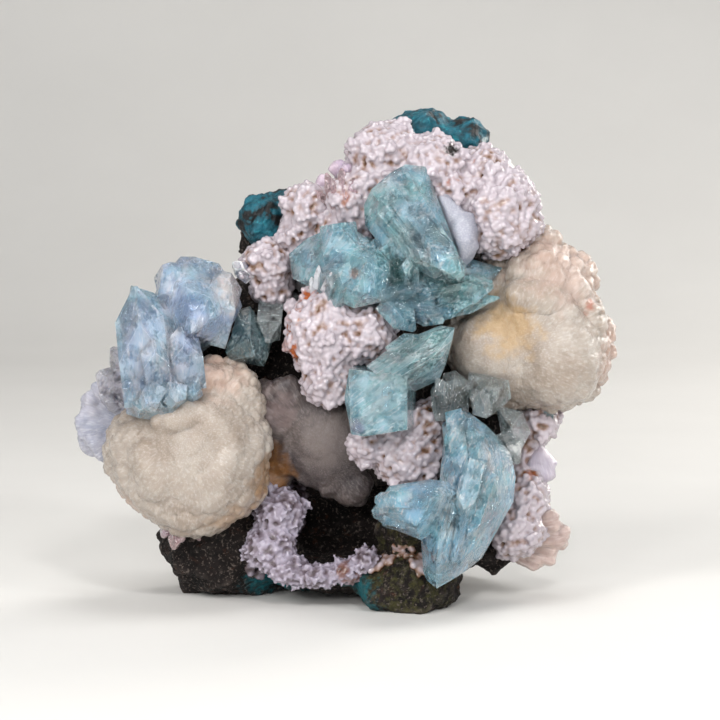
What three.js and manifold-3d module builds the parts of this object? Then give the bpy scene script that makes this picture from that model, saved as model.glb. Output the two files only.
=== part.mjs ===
// A cabinet specimen: green apophyllite and cream stilbite on white chalcedony over dark basalt.
// Millimetres, +Z up, +X to the right of the show face, which looks along -Y.
import * as THREE from "three";
import { ConvexGeometry } from "three/addons/geometries/ConvexGeometry.js";
import { mergeVertices } from "three/addons/utils/BufferGeometryUtils.js";
import Module from "manifold-3d";

const wasm = await Module();
wasm.setup();

const specimenWidth = 120;
const seam = 0.4; // the gap left where one mineral grows against another
const padSwell = 1.05; // a chalcedony lump's top, as a share of its pad's own half width
const lumpHeight = 0.24; // and how far the hollows between lumps lie below it
const bladeThickness = 5.2; // one stilbite blade bundle
const ringTilt = 27; // degrees from one ring of a stilbite sheaf to the next
const ringTwist = 7; // degrees that each ring is turned on, so that its blades fill the gaps
const brokenFace = 0.94; // where the nearest corner of a broken block lies, as a share of its half width
const brokenCorner = 1.08; // and the farthest

// Places are read from in front, as [across, up, back]: across and up as they look from the
// viewing distance with the eye a little above the table, and back as the true depth.
const viewingDistance = 700;
const eyeDrop = THREE.MathUtils.degToRad(6);
const lookHeight = 53;
const lookUp = 56;

function seen([across, up, back]) {
  const sin = Math.sin(eyeDrop);
  const cos = Math.cos(eyeDrop);
  const rise = up - lookUp;
  const away = viewingDistance + back * cos;
  const height = (rise * away - viewingDistance * back * sin) / (viewingDistance * cos + rise * sin);
  const depth = away - height * sin;
  return new THREE.Vector3((across * depth) / viewingDistance, back, height + lookHeight);
}

function randomFrom(seed) {
  let state = seed;
  return () => {
    state = (state * 1664525 + 1013904223) % 4294967296;
    return state / 4294967296;
  };
}

function solidOf(geometry) {
  const bare = geometry.index ? geometry.toNonIndexed() : geometry.clone();
  bare.deleteAttribute("normal");
  bare.deleteAttribute("uv");
  const merged = mergeVertices(bare, 1e-3);
  const mesh = new wasm.Mesh({
    numProp: 3,
    vertProperties: merged.attributes.position.array,
    triVerts: new Uint32Array(merged.index.array),
  });
  return new wasm.Manifold(mesh);
}

function joined(solids) {
  return solids.reduce((whole, next) => whole.add(next));
}

// The largest closed skin of a solid, without the crumbs that a cut leaves beside it or inside it.
function largestSkin(solid) {
  const { vertProperties, triVerts, numProp, numVert } = solid.getMesh();
  const corner = (i) => new THREE.Vector3().fromArray(vertProperties, i * numProp);
  const owner = Uint32Array.from({ length: numVert }, (_, i) => i);
  const ownerOf = (i) => {
    while (owner[i] !== i) i = owner[i];
    return i;
  };
  const triangles = [];
  for (let i = 0; i < triVerts.length; i += 3) {
    const triangle = triVerts.slice(i, i + 3);
    triangles.push(triangle);
    const [first, ...others] = triangle;
    for (const other of others) owner[ownerOf(other)] = ownerOf(first);
  }
  const volumes = new Map();
  for (const [a, b, c] of triangles) {
    const volume = corner(a).dot(corner(b).cross(corner(c)));
    volumes.set(ownerOf(a), (volumes.get(ownerOf(a)) ?? 0) + volume);
  }
  const [largest] = [...volumes].reduce((best, next) => (next[1] > best[1] ? next : best));
  const kept = triangles.filter(([a]) => ownerOf(a) === largest).flat();
  const points = kept.flatMap((triangle) => [...triangle].map(corner));
  return mergeVertices(new THREE.BufferGeometry().setFromPoints(points), 1e-4);
}

// A flat-sided hull, made larger about its middle until its nearest face has moved by the growth.
function grownHull(points, growth) {
  const hull = new ConvexGeometry(points);
  const middle = new THREE.Vector3();
  for (const point of points) middle.addScaledVector(point, 1 / points.length);
  const place = hull.attributes.position;
  let nearest = Infinity;
  for (let i = 0; i < place.count; i += 3) {
    const [a, b, c] = [0, 1, 2].map((k) => new THREE.Vector3().fromBufferAttribute(place, i + k));
    const face = new THREE.Plane().setFromCoplanarPoints(a, b, c);
    nearest = Math.min(nearest, Math.abs(face.distanceToPoint(middle)));
  }
  const share = 1 + growth / nearest;
  return hull
    .translate(-middle.x, -middle.y, -middle.z)
    .scale(share, share, share)
    .translate(middle.x, middle.y, middle.z);
}

// Stands a form of unit height on the line from root to tip, with its flat side towards the viewer.
function along(geometry, { root, tip, width, thickness }, growth) {
  const start = seen(root);
  const axis = new THREE.Vector3().subVectors(seen(tip), start);
  const length = axis.length();
  axis.normalize();
  const towardsViewer = new THREE.Vector3(0, -1, 0);
  const side = new THREE.Vector3().crossVectors(axis, towardsViewer).normalize();
  const front = new THREE.Vector3().crossVectors(side, axis);
  start.addScaledVector(axis, -growth);
  return geometry
    .scale(width / 2 + growth, length + 2 * growth, thickness / 2 + growth)
    .applyMatrix4(new THREE.Matrix4().makeBasis(side, axis, front))
    .translate(start.x, start.y, start.z);
}

function lathed(profile, sides) {
  return new THREE.LatheGeometry(profile.map(([radius, height]) => new THREE.Vector2(radius, height)), sides);
}

// Each form below is a function of its growth: grown by the seam, it cuts the room for itself
// out of what grew later.

// A crystal with plane faces through the corners given.
function faceted(corners) {
  return (growth) => solidOf(grownHull(corners.map(seen), growth));
}

// A four-sided prism with a four-sided point, cut off flat at its tip.
function prism({ root, tip, width, thickness = width, shoulder = 0.7, flat = 0.25, turn = 45 }) {
  return (growth) => {
    const edge = Math.SQRT2;
    const form = lathed([[0, 0], [edge, 0], [edge, shoulder], [flat, 1], [0, 1]], 4);
    form.rotateY(THREE.MathUtils.degToRad(turn));
    return solidOf(along(form, { root, tip, width, thickness }, growth));
  };
}

// One stilbite blade bundle: a flat wedge that widens from its root to a blunt tip.
function blade({ root, tip, width, thickness = bladeThickness, shoulder = 0.9 }) {
  return (growth) => {
    const form = lathed([[0, 0], [1, shoulder], [0, 1]], 6);
    return solidOf(along(form, { root, tip, width, thickness }, growth));
  };
}

// Evenly scattered directions, on a spiral from pole to pole, each turned a little at random.
function scattered(count, random) {
  const goldenAngle = 2.4;
  const stray = 0.7;
  return Array.from({ length: count }, (_, i) => {
    const height = 1 - (2 * (i + 0.5)) / count;
    const turn = i * goldenAngle + random() * stray;
    const ring = Math.sqrt(1 - height * height);
    return new THREE.Vector3(ring * Math.cos(turn), ring * Math.sin(turn), height);
  });
}

// A broken block of rock: plane faces through scattered points of an ellipsoid.
// Sizes are half the width, height and depth.
function boulder({ at, size, corners = 20, seed }) {
  return (growth) => {
    const random = randomFrom(seed);
    const [wide, high, deep] = size.map((half) => half + growth);
    const points = scattered(corners, random).map((direction) =>
      direction
        .multiplyScalar(THREE.MathUtils.lerp(brokenFace, brokenCorner, random()))
        .multiply(new THREE.Vector3(wide, deep, high))
        .add(seen(at)),
    );
    return solidOf(new ConvexGeometry(points));
  };
}

// A sheaf of blades spread round its heart, in rings that tilt towards the viewer over a dome.
// The rim lists each outermost blade's angle above +X and its reach.
function sheaf({ heart, rim, rings, dome, width }) {
  const [across, up, back] = heart;
  const blades = [];
  for (let ring = 0; ring < rings; ring++) {
    const tilt = THREE.MathUtils.degToRad(ringTilt * ring);
    const stride = ring + 1;
    for (let i = ring % stride; i < rim.length; i += stride) {
      const [degrees, reach] = rim[i];
      const angle = THREE.MathUtils.degToRad(degrees + ringTwist * ring);
      const far = reach * Math.cos(tilt);
      const depth = back - dome * Math.sin(tilt) + (i % 2);
      blades.push(
        blade({
          root: [across, up, back],
          tip: [across + far * Math.cos(angle), up + far * Math.sin(angle), depth],
          width: width * (1 + ring * 0.2),
          thickness: dome * 0.4,
        }),
      );
    }
  }
  return blades;
}

// A pad of chalcedony: an ellipsoid whose skin swells into lumps.
function pad({ at, size, lumps = 14, fineness = 1, seed }) {
  return (growth) => {
    const [wide, high, deep] = size.map((half) => half + growth);
    const random = randomFrom(seed);
    const peaks = scattered(lumps, random);
    const lumpReach = 2 / Math.sqrt(lumps);
    const skin = new THREE.IcosahedronGeometry(1, fineness).rotateX(random() * 3).rotateY(random() * 3);
    const place = skin.attributes.position;
    for (let i = 0; i < place.count; i++) {
      const point = new THREE.Vector3().fromBufferAttribute(place, i);
      const away = Math.min(...peaks.map((peak) => peak.angleTo(point)));
      point.multiplyScalar(padSwell - lumpHeight * Math.min(1, (away / lumpReach) ** 2));
      place.setXYZ(i, ...point);
    }
    const centre = seen(at);
    return solidOf(skin.scale(wide, deep, high).translate(centre.x, centre.y, centre.z));
  };
}

// Basalt: the core, the shoulders, the arm, the floor of the hollow and the feet that it stands on,
// and the hollow that is cut out of it.
const basalt = [
  boulder({ at: [6, 52, 13], size: [32, 38, 19], seed: 11 }),
  boulder({ at: [13, 86, 9], size: [21, 18, 14], corners: 18, seed: 12 }),
  boulder({ at: [-25, 58, 13], size: [19, 18, 14], seed: 13 }),
  boulder({ at: [-25, 16, 6], size: [17, 15, 16], seed: 14 }),
  boulder({ at: [14, 6.5, -12], size: [12.5, 9.5, 14], seed: 15 }),
  boulder({ at: [4, 19, 20], size: [34, 20, 13], seed: 16 }),
  boulder({ at: [31, 22, 5], size: [11, 14, 13], corners: 16, seed: 18 }),
  boulder({ at: [32, 41, 5], size: [9, 12, 12], corners: 14, seed: 17 }),
  boulder({ at: [18, 19, -11], size: [12, 8, 11], corners: 14, seed: 19 }),
  boulder({ at: [-3, 9, 0], size: [15, 4.5, 17], corners: 16, seed: 20 }),
  boulder({ at: [10, 50, -5], size: [12, 26, 11], corners: 18, seed: 21 }),
  boulder({ at: [-11, 82, 7], size: [13, 10, 9], corners: 16, seed: 22 }),
  boulder({ at: [-22, 36, 12], size: [15, 12, 12], corners: 14, seed: 24 }),
];
const hollow = { at: [-4.5, 18, -10], size: [12.5, 9.5, 17], corners: 22, seed: 23 };

// Celadonite-skinned knobs of the same rock, where the crust has broken away.
const celadoniteCap = [
  boulder({ at: [17, 106.5, 6], size: [9, 6, 9], corners: 18, seed: 31 }),
  boulder({ at: [25.5, 105, 5], size: [7.5, 5.5, 8], corners: 16, seed: 32 }),
];
const celadoniteKnob = [
  boulder({ at: [-18.2, 86.8, 3], size: [6, 7, 7], corners: 18, seed: 33 }),
  boulder({ at: [-12.5, 90, 4], size: [6, 5, 6], corners: 14, seed: 34 }),
];

const apophylliteUpper = [
  // the long crystal that slants down to the right
  faceted([
    [13.5, 99.5, -13], [18, 99, -13], [18, 97, -13], [10, 97.5, -16], [6, 94, -17], [4.3, 90.5, -17],
    [4.5, 86, -18], [8.5, 81, -19], [10.5, 79, -20], [15, 90, -19], [17.5, 86.5, -21], [22, 83, -20],
    [25.5, 79, -18], [26, 76.5, -18], [20, 74, -21], [9.5, 90, -23], [14, 84, -26], [19, 78, -26],
    [12, 90, -5], [20, 80, -5], [10, 82, -5],
  ]),
  prism({ root: [18, 84, -17], tip: [25.7, 74.6, -26], width: 5, shoulder: 0.8, flat: 0.5 }),
  // the deep green crystals below it
  faceted([
    [10, 78, -14], [10.5, 65, -14], [22, 67, -14], [30, 70, -12], [32.5, 73, -10], [35, 76.5, -8],
    [28, 78.5, -8], [19, 78, -14], [15, 72, -20], [25, 72, -17], [15, 72, -2], [28, 74, 0],
  ]),
  prism({ root: [20, 71, -12], tip: [33, 72.3, -17], width: 6.5, thickness: 5.5, flat: 0.2 }),
  prism({ root: [16, 68, -12], tip: [29.5, 69.5, -15], width: 5.5, flat: 0.3 }),
  // the blocky crystal on the left
  faceted([
    [-12.5, 79.5, -9], [-8.5, 83, -11], [-4, 85, -13], [2, 85, -15], [5.5, 82.5, -18], [10, 78, -20],
    [10, 75, -22], [8.5, 69, -22], [2, 67.5, -20], [-4, 73, -18], [-8.5, 74.5, -14], [-11.5, 74, -11],
    [-2, 81, -20], [4, 78.5, -25], [4.5, 71, -25], [-6, 79, -1], [14, 79, -9], [14, 70, -9],
  ]),
  prism({ root: [0, 76, -10], tip: [-1.5, 85.5, -21], width: 8, shoulder: 0.75, flat: 0.4 }),
];

const apophylliteBowtie = [
  // the block seen on its square end
  faceted([
    [1, 54, -31], [14, 52.5, -33], [14, 40.5, -33], [4.5, 39, -32], [1.5, 39.5, -31], [0, 47.5, -29.5],
    [3, 55, -12], [16, 53, -13], [16, 42, -13], [4, 41, -12],
  ]),
  // the wedge that leaves it to the upper right
  faceted([
    [5.5, 55, -25], [11, 59.5, -23], [16, 61.5, -22], [21.3, 63.7, -23], [24.5, 63.2, -25],
    [24, 60.5, -27], [22.5, 55, -27], [14, 51, -30], [21, 51.5, -22], [15.5, 49, -22],
    [13.5, 52.5, -33], [20, 57, -32], [12, 54, -12], [20, 56, -12],
  ]),
];

const apophylliteLower = [
  // the long crystal that runs down from the upper right
  faceted([
    [27.5, 44.5, -21], [31.5, 41.5, -23], [34, 39, -22], [37, 35, -20], [38, 30, -19], [37.5, 24.5, -19],
    [34.5, 20, -19], [30.5, 12, -22], [27.5, 9.5, -23], [30, 36, -33], [27, 22, -35], [24, 11, -32],
    [22, 38, -23], [24, 32.5, -27], [20, 18, -25], [30, 26, -8],
  ]),
  // its neighbour, which ends in the lowest point
  faceted([
    [17, 16, -27], [17.5, 9, -26.5], [18.3, 7, -26], [20.5, 5.2, -27], [25, 7.8, -27], [27.5, 9.5, -26],
    [22, 22, -34], [20.5, 12, -33], [26.5, 31, -31], [17.5, 21, -24], [26, 20, -18],
  ]),
  prism({ root: [27, 30, -20], tip: [25.5, 44.5, -26], width: 8, thickness: 7, shoulder: 0.72 }),
  // the barrel-shaped crystal lying across it
  faceted([
    [6, 22.5, -34], [6.5, 21, -32], [10, 28, -32], [14.5, 27.5, -33], [19, 29.5, -33], [23, 29, -33],
    [25.5, 26.5, -32], [9.5, 19, -32], [12.5, 18, -33], [17, 16, -33], [19.5, 17.5, -31],
    [11, 23.5, -38], [20, 25.5, -39.5], [16, 19, -37.5], [10, 24, -22], [20, 26, -20], [18, 18, -20],
  ]),
];

const apophylliteLeft = [
  // the pointed crystal
  faceted([
    [-47.5, 72.6, -16], [-42.5, 71, -16], [-40.5, 69, -17], [-37.5, 66, -18], [-48.5, 68, -14],
    [-49.5, 60, -13], [-49.5, 58, -14], [-44.5, 52, -16], [-40, 50.5, -18], [-44, 64, -24],
    [-42, 56, -27], [-36, 58, -23], [-44, 62, -3], [-38, 56, 0],
  ]),
  // the rounded group behind it
  faceted([
    [-36.5, 79, -12], [-33.5, 79, -12], [-28, 77.5, -12], [-26, 74.5, -12], [-24, 71.5, -12],
    [-22.8, 68, -11], [-25, 65.5, -12], [-26, 62, -14], [-29.5, 60, -16], [-38.5, 76.5, -13],
    [-40.5, 74.5, -13], [-43, 69, -12], [-42, 58, -12], [-35, 72, -22], [-30, 70, -22],
    [-34, 62, -26], [-28, 66, -21], [-36, 72, 3], [-27, 70, 3], [-34, 56, 3],
  ]),
  prism({ root: [-35, 66, -10], tip: [-39.5, 77, -16], width: 8, shoulder: 0.7, flat: 0.35 }),
  prism({ root: [-30, 62, -10], tip: [-26.5, 75, -18], width: 8.5, shoulder: 0.66, flat: 0.4 }),
  // the low rounded crystal beside the stilbite
  faceted([
    [-49, 49, -19], [-46, 51, -20], [-41, 52, -21], [-37, 54, -21], [-33, 51.5, -21], [-36, 47.5, -24],
    [-41, 46, -26], [-45.5, 43, -24], [-48.5, 44, -20], [-45, 48, -27], [-39, 49.5, -28], [-40, 50, -6],
  ]),
];

const apophylliteLeftDark = [
  faceted([
    [-24.5, 67, -7], [-21, 68, -7], [-19, 64, -8], [-16, 60.5, -9], [-17, 57, -10], [-18, 54.5, -10],
    [-21, 55, -11], [-25.5, 56, -12], [-26.5, 57.5, -12], [-26, 61.5, -11], [-21, 61, -17],
    [-20, 57, -16], [-22, 62, 4],
  ]),
];

// Clear, nearly colourless crystals between the right sheaf and the lower group.
const apophylliteClear = [
  faceted([
    [22, 53, -15], [19, 45.5, -17], [23, 42, -20], [27.5, 44, -20], [28, 51, -18], [24.5, 53.7, -15],
    [24, 48, -24], [25, 48, -2],
  ]),
  faceted([
    [27.5, 53.5, -14], [31.5, 52.7, -16], [36.5, 51.5, -16], [37, 47.5, -17], [35, 45.5, -18],
    [31.5, 43, -20], [28.5, 44.5, -20], [27.3, 50, -18], [32, 48, -24], [32, 48, -1],
  ]),
  faceted([
    [33.5, 46, -13], [39.5, 44.5, -11], [41.3, 40, -11], [39, 35.5, -13], [35, 38.5, -15],
    [37, 41, -19], [36, 41, 0],
  ]),
];

const clearPrism = [
  prism({ root: [-16.3, 69, -1], tip: [-17.2, 60.2, -13], width: 5.4, thickness: 5, shoulder: 0.72 }),
];

// Clear points at the far left edge.
const clearPoints = [
  prism({ root: [-43, 47, -2], tip: [-51.8, 58.6, -9], width: 6.5, shoulder: 0.7, flat: 0.2 }),
  prism({ root: [-44, 46, -4], tip: [-55, 53, -9], width: 6, shoulder: 0.75, flat: 0.3, turn: 20 }),
];

const stilbiteLeftFan = [
  boulder({ at: [-34, 35.5, -12], size: [16.5, 16.5, 13], corners: 20, seed: 35 }),
  ...sheaf({
    heart: [-34, 36, -12],
    rim: [
      [-100, 19], [-74, 18.5], [-46, 17], [-20, 17], [6, 17.5], [28, 16.5], [52, 21],
      [74, 22.5], [98, 17], [130, 14.5], [160, 18], [188, 20.5], [215, 19], [238, 18],
    ],
    rings: 3,
    dome: 15,
    width: 9,
  }),
];

const stilbiteRightFan = [
  boulder({ at: [42, 61.5, -3], size: [15, 16.5, 12], corners: 20, seed: 36 }),
  ...sheaf({
    heart: [39, 60.5, -3],
    rim: [
      [-105, 13], [-80, 16], [-56, 18.5], [-36, 20.5], [-14, 21.5], [6, 21.5], [24, 19.5], [41, 20.5],
      [58, 20], [74, 20.5], [92, 20], [180, 14], [206, 15], [232, 14.5],
    ],
    rings: 3,
    dome: 14,
    width: 9.5,
  }),
];

const stilbiteLowerBlades = [
  blade({ root: [30, 13, 1], tip: [47, 22.6, 0], width: 9, thickness: 6 }),
  blade({ root: [29, 14, 1], tip: [49.6, 18.4, -1], width: 9.5, thickness: 6.5 }),
  blade({ root: [30, 16, 1], tip: [48.4, 13.8, 0], width: 8, thickness: 6 }),
  blade({ root: [30, 18, 2], tip: [43.5, 10.8, 1], width: 7, thickness: 6 }),
];

const stilbiteRightBlade = [
  blade({ root: [42.5, 39, -1], tip: [45.3, 28.4, -3], width: 6, thickness: 5 }),
  blade({ root: [42.5, 39, 0], tip: [46.2, 31.5, -1], width: 5, thickness: 4.5 }),
  blade({ root: [42.5, 38, -1], tip: [41.5, 30.5, -4], width: 4.6, thickness: 4 }),
];

// Greyer sheaves set back in the middle.
const stilbiteCentre = [
  ...sheaf({
    heart: [-4, 37, -6],
    rim: [[-125, 10], [-75, 12], [-45, 14], [-15, 10], [40, 7], [90, 7], [135, 9], [170, 11], [205, 10]],
    rings: 2,
    dome: 8,
    width: 10,
  }),
  blade({ root: [-8, 37, -8], tip: [-15.5, 52.2, -9], width: 9.5, thickness: 7 }),
  blade({ root: [-8, 37, -7], tip: [-22, 50, -6], width: 9, thickness: 7 }),
  blade({ root: [-7, 38, -8], tip: [-11, 50.5, -8], width: 7, thickness: 6 }),
];

const stilbiteUpperLobe = [
  blade({ root: [19, 88, -4], tip: [26.5, 78.5, -17], width: 11, thickness: 9 }),
  blade({ root: [20, 84, -4], tip: [22.6, 91, -15], width: 9, thickness: 8 }),
  blade({ root: [18, 86, -4], tip: [28.3, 84.5, -16], width: 10, thickness: 8 }),
];

// Bluish blades behind the left fan.
const stilbiteFarLeft = sheaf({
  heart: [-46, 42.5, -2],
  rim: [[95, 10], [120, 12], [143, 13], [164, 13.8], [184, 14.4], [205, 14.2], [226, 12], [246, 11]],
  rings: 2,
  dome: 8,
  width: 6.4,
});

const stilbiteCrestBlades = [
  blade({ root: [2.4, 92.5, -4], tip: [-2.6, 100.3, -5], width: 4.6, thickness: 3 }),
  blade({ root: [2.4, 92.5, -4], tip: [-0.2, 99.6, -7], width: 3.6, thickness: 2.6 }),
  blade({ root: [2.4, 93, -4], tip: [-6.6, 96.2, -4], width: 4.2, thickness: 3 }),
];

const chalcedonyCrown = [
  pad({ at: [9, 101, -3], size: [8, 8.2, 8], lumps: 18, seed: 41 }),
  pad({ at: [3, 91.5, -5], size: [7.2, 8.2, 8], lumps: 18, seed: 42 }),
  pad({ at: [19.5, 100, -5], size: [8, 6, 8], lumps: 18, seed: 43 }),
  pad({ at: [34.5, 88.5, -6], size: [9, 9.6, 10.5], lumps: 30, fineness: 2, seed: 44 }),
  pad({ at: [30.5, 97, -3], size: [7.2, 6.4, 9], lumps: 18, seed: 45 }),
  pad({ at: [23, 93, -6], size: [6, 7, 7], seed: 46 }),
  pad({ at: [-2.5, 85.6, -4], size: [5.4, 4.6, 6.5], seed: 47 }),
];

const chalcedonyArm = [
  pad({ at: [-8, 89.6, -4], size: [5.4, 5.6, 6], seed: 51 }),
  pad({ at: [-11, 84.2, -4], size: [3.6, 4, 5], seed: 52 }),
];

const chalcedonyLeftPatch = [
  pad({ at: [-17, 77.4, -2], size: [5.8, 5.6, 8], seed: 54 }),
  pad({ at: [-15.8, 72.2, -1], size: [4.4, 3.8, 7], seed: 55 }),
];

const chalcedonyMiddle = [
  pad({ at: [-5, 62, -13], size: [7.6, 10.2, 7.5], lumps: 34, fineness: 2, seed: 61 }),
  pad({ at: [4.5, 61.8, -13], size: [7.2, 6.6, 7.5], seed: 62 }),
  pad({ at: [-3.5, 52.5, -13], size: [6, 6.6, 6.5], seed: 63 }),
];

const chalcedonyLower = [
  pad({ at: [14.5, 35, -15], size: [8.6, 7.2, 6.5], lumps: 18, seed: 64 }),
  pad({ at: [18.3, 42, -15], size: [4, 4.8, 5.5], seed: 65 }),
  pad({ at: [5.4, 37, -15], size: [4.4, 3.6, 5.5], seed: 66 }),
];

const chalcedonyRight = [
  pad({ at: [43, 42.6, 1], size: [4.8, 4.8, 7], seed: 71 }),
  pad({ at: [40, 38, 3], size: [4, 4.6, 6.5], seed: 72 }),
  pad({ at: [40.6, 31.5, 1], size: [4.2, 5.4, 7], seed: 73 }),
  pad({ at: [40.2, 26, -3], size: [5, 5, 7], seed: 74 }),
  pad({ at: [37.8, 18.2, -6], size: [6, 6.2, 7], lumps: 18, seed: 75 }),
];

const chalcedonyHollow = [
  pad({ at: [-14.5, 22.2, -8], size: [5.6, 5.6, 6], seed: 76 }),
  pad({ at: [-16.5, 14, -11], size: [6.2, 5.6, 5], seed: 77 }),
  pad({ at: [-12.5, 9.5, -14], size: [4.6, 3, 4], seed: 78 }),
  pad({ at: [-6, 8, -15], size: [5.4, 2.2, 4], seed: 79 }),
  pad({ at: [1, 9, -15], size: [4.4, 2.3, 4], seed: 80 }),
  pad({ at: [5, 11.5, -17], size: [3, 2.8, 4.5], seed: 81 }),
];

const rockMaterial = { color: 0x3f3a34, roughness: 0.92 };
const celadoniteMaterial = { color: 0x1d6f78, roughness: 0.6 };
const chalcedonyMaterial = { color: 0xe6d8d2, roughness: 0.42 };
const stilbiteMaterial = { color: 0xdcc9a8, roughness: 0.38 };
const greyStilbiteMaterial = { color: 0xb3a394, roughness: 0.4 };
const apophylliteMaterial = { color: 0x7fbcc0, roughness: 0.12 };
const clearMaterial = { color: 0xb5c4c4, roughness: 0.06 };

// In the order that they grew against each other: each is cut back by those above it.
const pieces = [
  ["basalt_matrix", basalt, rockMaterial],
  ["celadonite_cap", celadoniteCap, celadoniteMaterial],
  ["celadonite_knob", celadoniteKnob, celadoniteMaterial],
  ["apophyllite_upper", apophylliteUpper, apophylliteMaterial],
  ["apophyllite_bowtie", apophylliteBowtie, apophylliteMaterial],
  ["apophyllite_lower", apophylliteLower, apophylliteMaterial],
  ["stilbite_left_fan", stilbiteLeftFan, stilbiteMaterial],
  ["apophyllite_left", apophylliteLeft, apophylliteMaterial],
  ["apophyllite_left_dark", apophylliteLeftDark, apophylliteMaterial],
  ["apophyllite_clear", apophylliteClear, clearMaterial],
  ["clear_prism", clearPrism, clearMaterial],
  ["clear_points", clearPoints, clearMaterial],
  ["stilbite_upper_lobe", stilbiteUpperLobe, greyStilbiteMaterial],
  ["stilbite_right_fan", stilbiteRightFan, stilbiteMaterial],
  ["stilbite_lower_blades", stilbiteLowerBlades, greyStilbiteMaterial],
  ["stilbite_right_blade", stilbiteRightBlade, greyStilbiteMaterial],
  ["stilbite_centre", stilbiteCentre, greyStilbiteMaterial],
  ["stilbite_far_left", stilbiteFarLeft, greyStilbiteMaterial],
  ["stilbite_crest_blades", stilbiteCrestBlades, greyStilbiteMaterial],
  ["chalcedony_crown", chalcedonyCrown, chalcedonyMaterial],
  ["chalcedony_arm", chalcedonyArm, chalcedonyMaterial],
  ["chalcedony_left_patch", chalcedonyLeftPatch, chalcedonyMaterial],
  ["chalcedony_middle", chalcedonyMiddle, chalcedonyMaterial],
  ["chalcedony_lower", chalcedonyLower, chalcedonyMaterial],
  ["chalcedony_right", chalcedonyRight, chalcedonyMaterial],
  ["chalcedony_hollow", chalcedonyHollow, chalcedonyMaterial],
];

// The table top: everything below it is cut away, which leaves the flat feet.
function aboveTable(solid, growth) {
  const table = new THREE.BoxGeometry(400, 400, 100).translate(0, 0, -50 - growth);
  return solid.subtract(solidOf(table));
}

function whole(name, forms, growth) {
  let solid = aboveTable(joined(forms.map((form) => form(growth))), growth);
  if (name === "basalt_matrix") solid = solid.subtract(boulder(hollow)(-growth));
  return solid;
}

const specimen = new THREE.Group();
const earlier = [];
for (const [name, forms, look] of pieces) {
  const grownBack = earlier.reduce((solid, neighbour) => solid.subtract(neighbour), whole(name, forms, 0));
  const material = new THREE.MeshStandardMaterial({ ...look, metalness: 0 });
  const mesh = new THREE.Mesh(largestSkin(grownBack), material);
  mesh.name = name;
  specimen.add(mesh);
  earlier.push(whole(name, forms, seam));
}

// Its true width, with the origin under the middle of its box on the table.
const box = new THREE.Box3().setFromObject(specimen);
const size = box.getSize(new THREE.Vector3());
const centre = box.getCenter(new THREE.Vector3());
const scale = specimenWidth / size.x;
specimen.scale.setScalar(scale);
specimen.position.set(-centre.x * scale, -centre.y * scale, -box.min.z * scale);

export default specimen;
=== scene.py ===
import math
import random

import bmesh
import bpy
from mathutils import Matrix, Vector
from mathutils.bvhtree import BVHTree


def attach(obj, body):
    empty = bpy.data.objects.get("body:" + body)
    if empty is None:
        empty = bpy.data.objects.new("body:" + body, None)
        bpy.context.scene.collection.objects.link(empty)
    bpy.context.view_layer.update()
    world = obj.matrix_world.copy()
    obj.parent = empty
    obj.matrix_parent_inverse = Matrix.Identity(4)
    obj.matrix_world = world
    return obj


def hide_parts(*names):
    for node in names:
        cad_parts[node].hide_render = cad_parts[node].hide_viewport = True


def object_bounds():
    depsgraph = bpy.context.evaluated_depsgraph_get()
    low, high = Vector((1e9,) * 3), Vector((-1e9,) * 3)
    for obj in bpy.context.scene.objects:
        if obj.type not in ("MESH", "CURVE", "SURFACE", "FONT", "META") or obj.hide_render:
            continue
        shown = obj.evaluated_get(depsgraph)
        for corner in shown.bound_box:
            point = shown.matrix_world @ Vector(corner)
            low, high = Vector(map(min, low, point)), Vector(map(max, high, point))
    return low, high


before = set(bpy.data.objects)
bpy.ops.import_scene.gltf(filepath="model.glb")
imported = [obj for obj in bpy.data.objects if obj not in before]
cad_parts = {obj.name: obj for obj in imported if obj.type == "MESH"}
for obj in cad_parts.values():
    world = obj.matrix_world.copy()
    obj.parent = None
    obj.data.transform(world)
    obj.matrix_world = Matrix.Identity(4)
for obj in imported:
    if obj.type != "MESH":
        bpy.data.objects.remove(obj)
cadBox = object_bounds()
mm = 0.001
mergeDistance = 0.002  # mm: corners of a CAD node that lie nearer than this are one
bevelAngle = 18  # degrees: edges that turn more than this are bevelled

# The eye: places on the show face are read as it sees them, in mm across and up, with the true depth.
eye = {
    "distance": 697.3 * mm,
    "elevation": 6.0,
    "look": Vector((3.4, 3.35, 52.8)) * mm,
    "lens": 157.5,
    "sensor": 36.0,
    "acrossAtLook": 3.33,
    "upAtLook": 56.0,
    "partScale": 0.99609,  # one mm of the part's source, in mm of the frame
    "partDepth": 3.35,  # where the source's depth 0 lies in the frame
}


def eyePlace():
    tilt = math.radians(eye["elevation"])
    return eye["look"] + eye["distance"] * Vector((0, -math.cos(tilt), math.sin(tilt)))


def fromFront(across, up, back):
    tilt = math.radians(eye["elevation"])
    forward = Vector((0, math.cos(tilt), -math.sin(tilt)))
    above = Vector((0, math.sin(tilt), math.cos(tilt)))
    size = eye["partScale"] * mm
    ray = forward * eye["distance"]
    ray += Vector((1, 0, 0)) * (across - eye["acrossAtLook"]) * size
    ray += above * (up - eye["upAtLook"]) * size
    depth = back * size + eye["partDepth"] * mm
    start = eyePlace()
    return start + ray * ((depth - start.y) / ray.y)


# Meshes

def linked(name, mesh):
    piece = bpy.data.objects.new(name, mesh)
    bpy.context.scene.collection.objects.link(piece)
    return piece


def linkedForm(name, bm):
    mesh = bpy.data.meshes.new(name)
    bm.to_mesh(mesh)
    bm.free()
    return linked(name, mesh)


def castOf(nodeName, pieceName):  # the CAD node's shape in a mesh of its own, its corners merged
    bm = bmesh.new()
    bm.from_mesh(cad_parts[nodeName].data)
    bmesh.ops.remove_doubles(bm, verts=bm.verts, dist=mergeDistance * mm)
    piece = linkedForm(pieceName, bm)
    for layer in ("custom_normal", "UVMap"):
        if layer in piece.data.attributes:
            piece.data.attributes.remove(piece.data.attributes[layer])
    return piece


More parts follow.
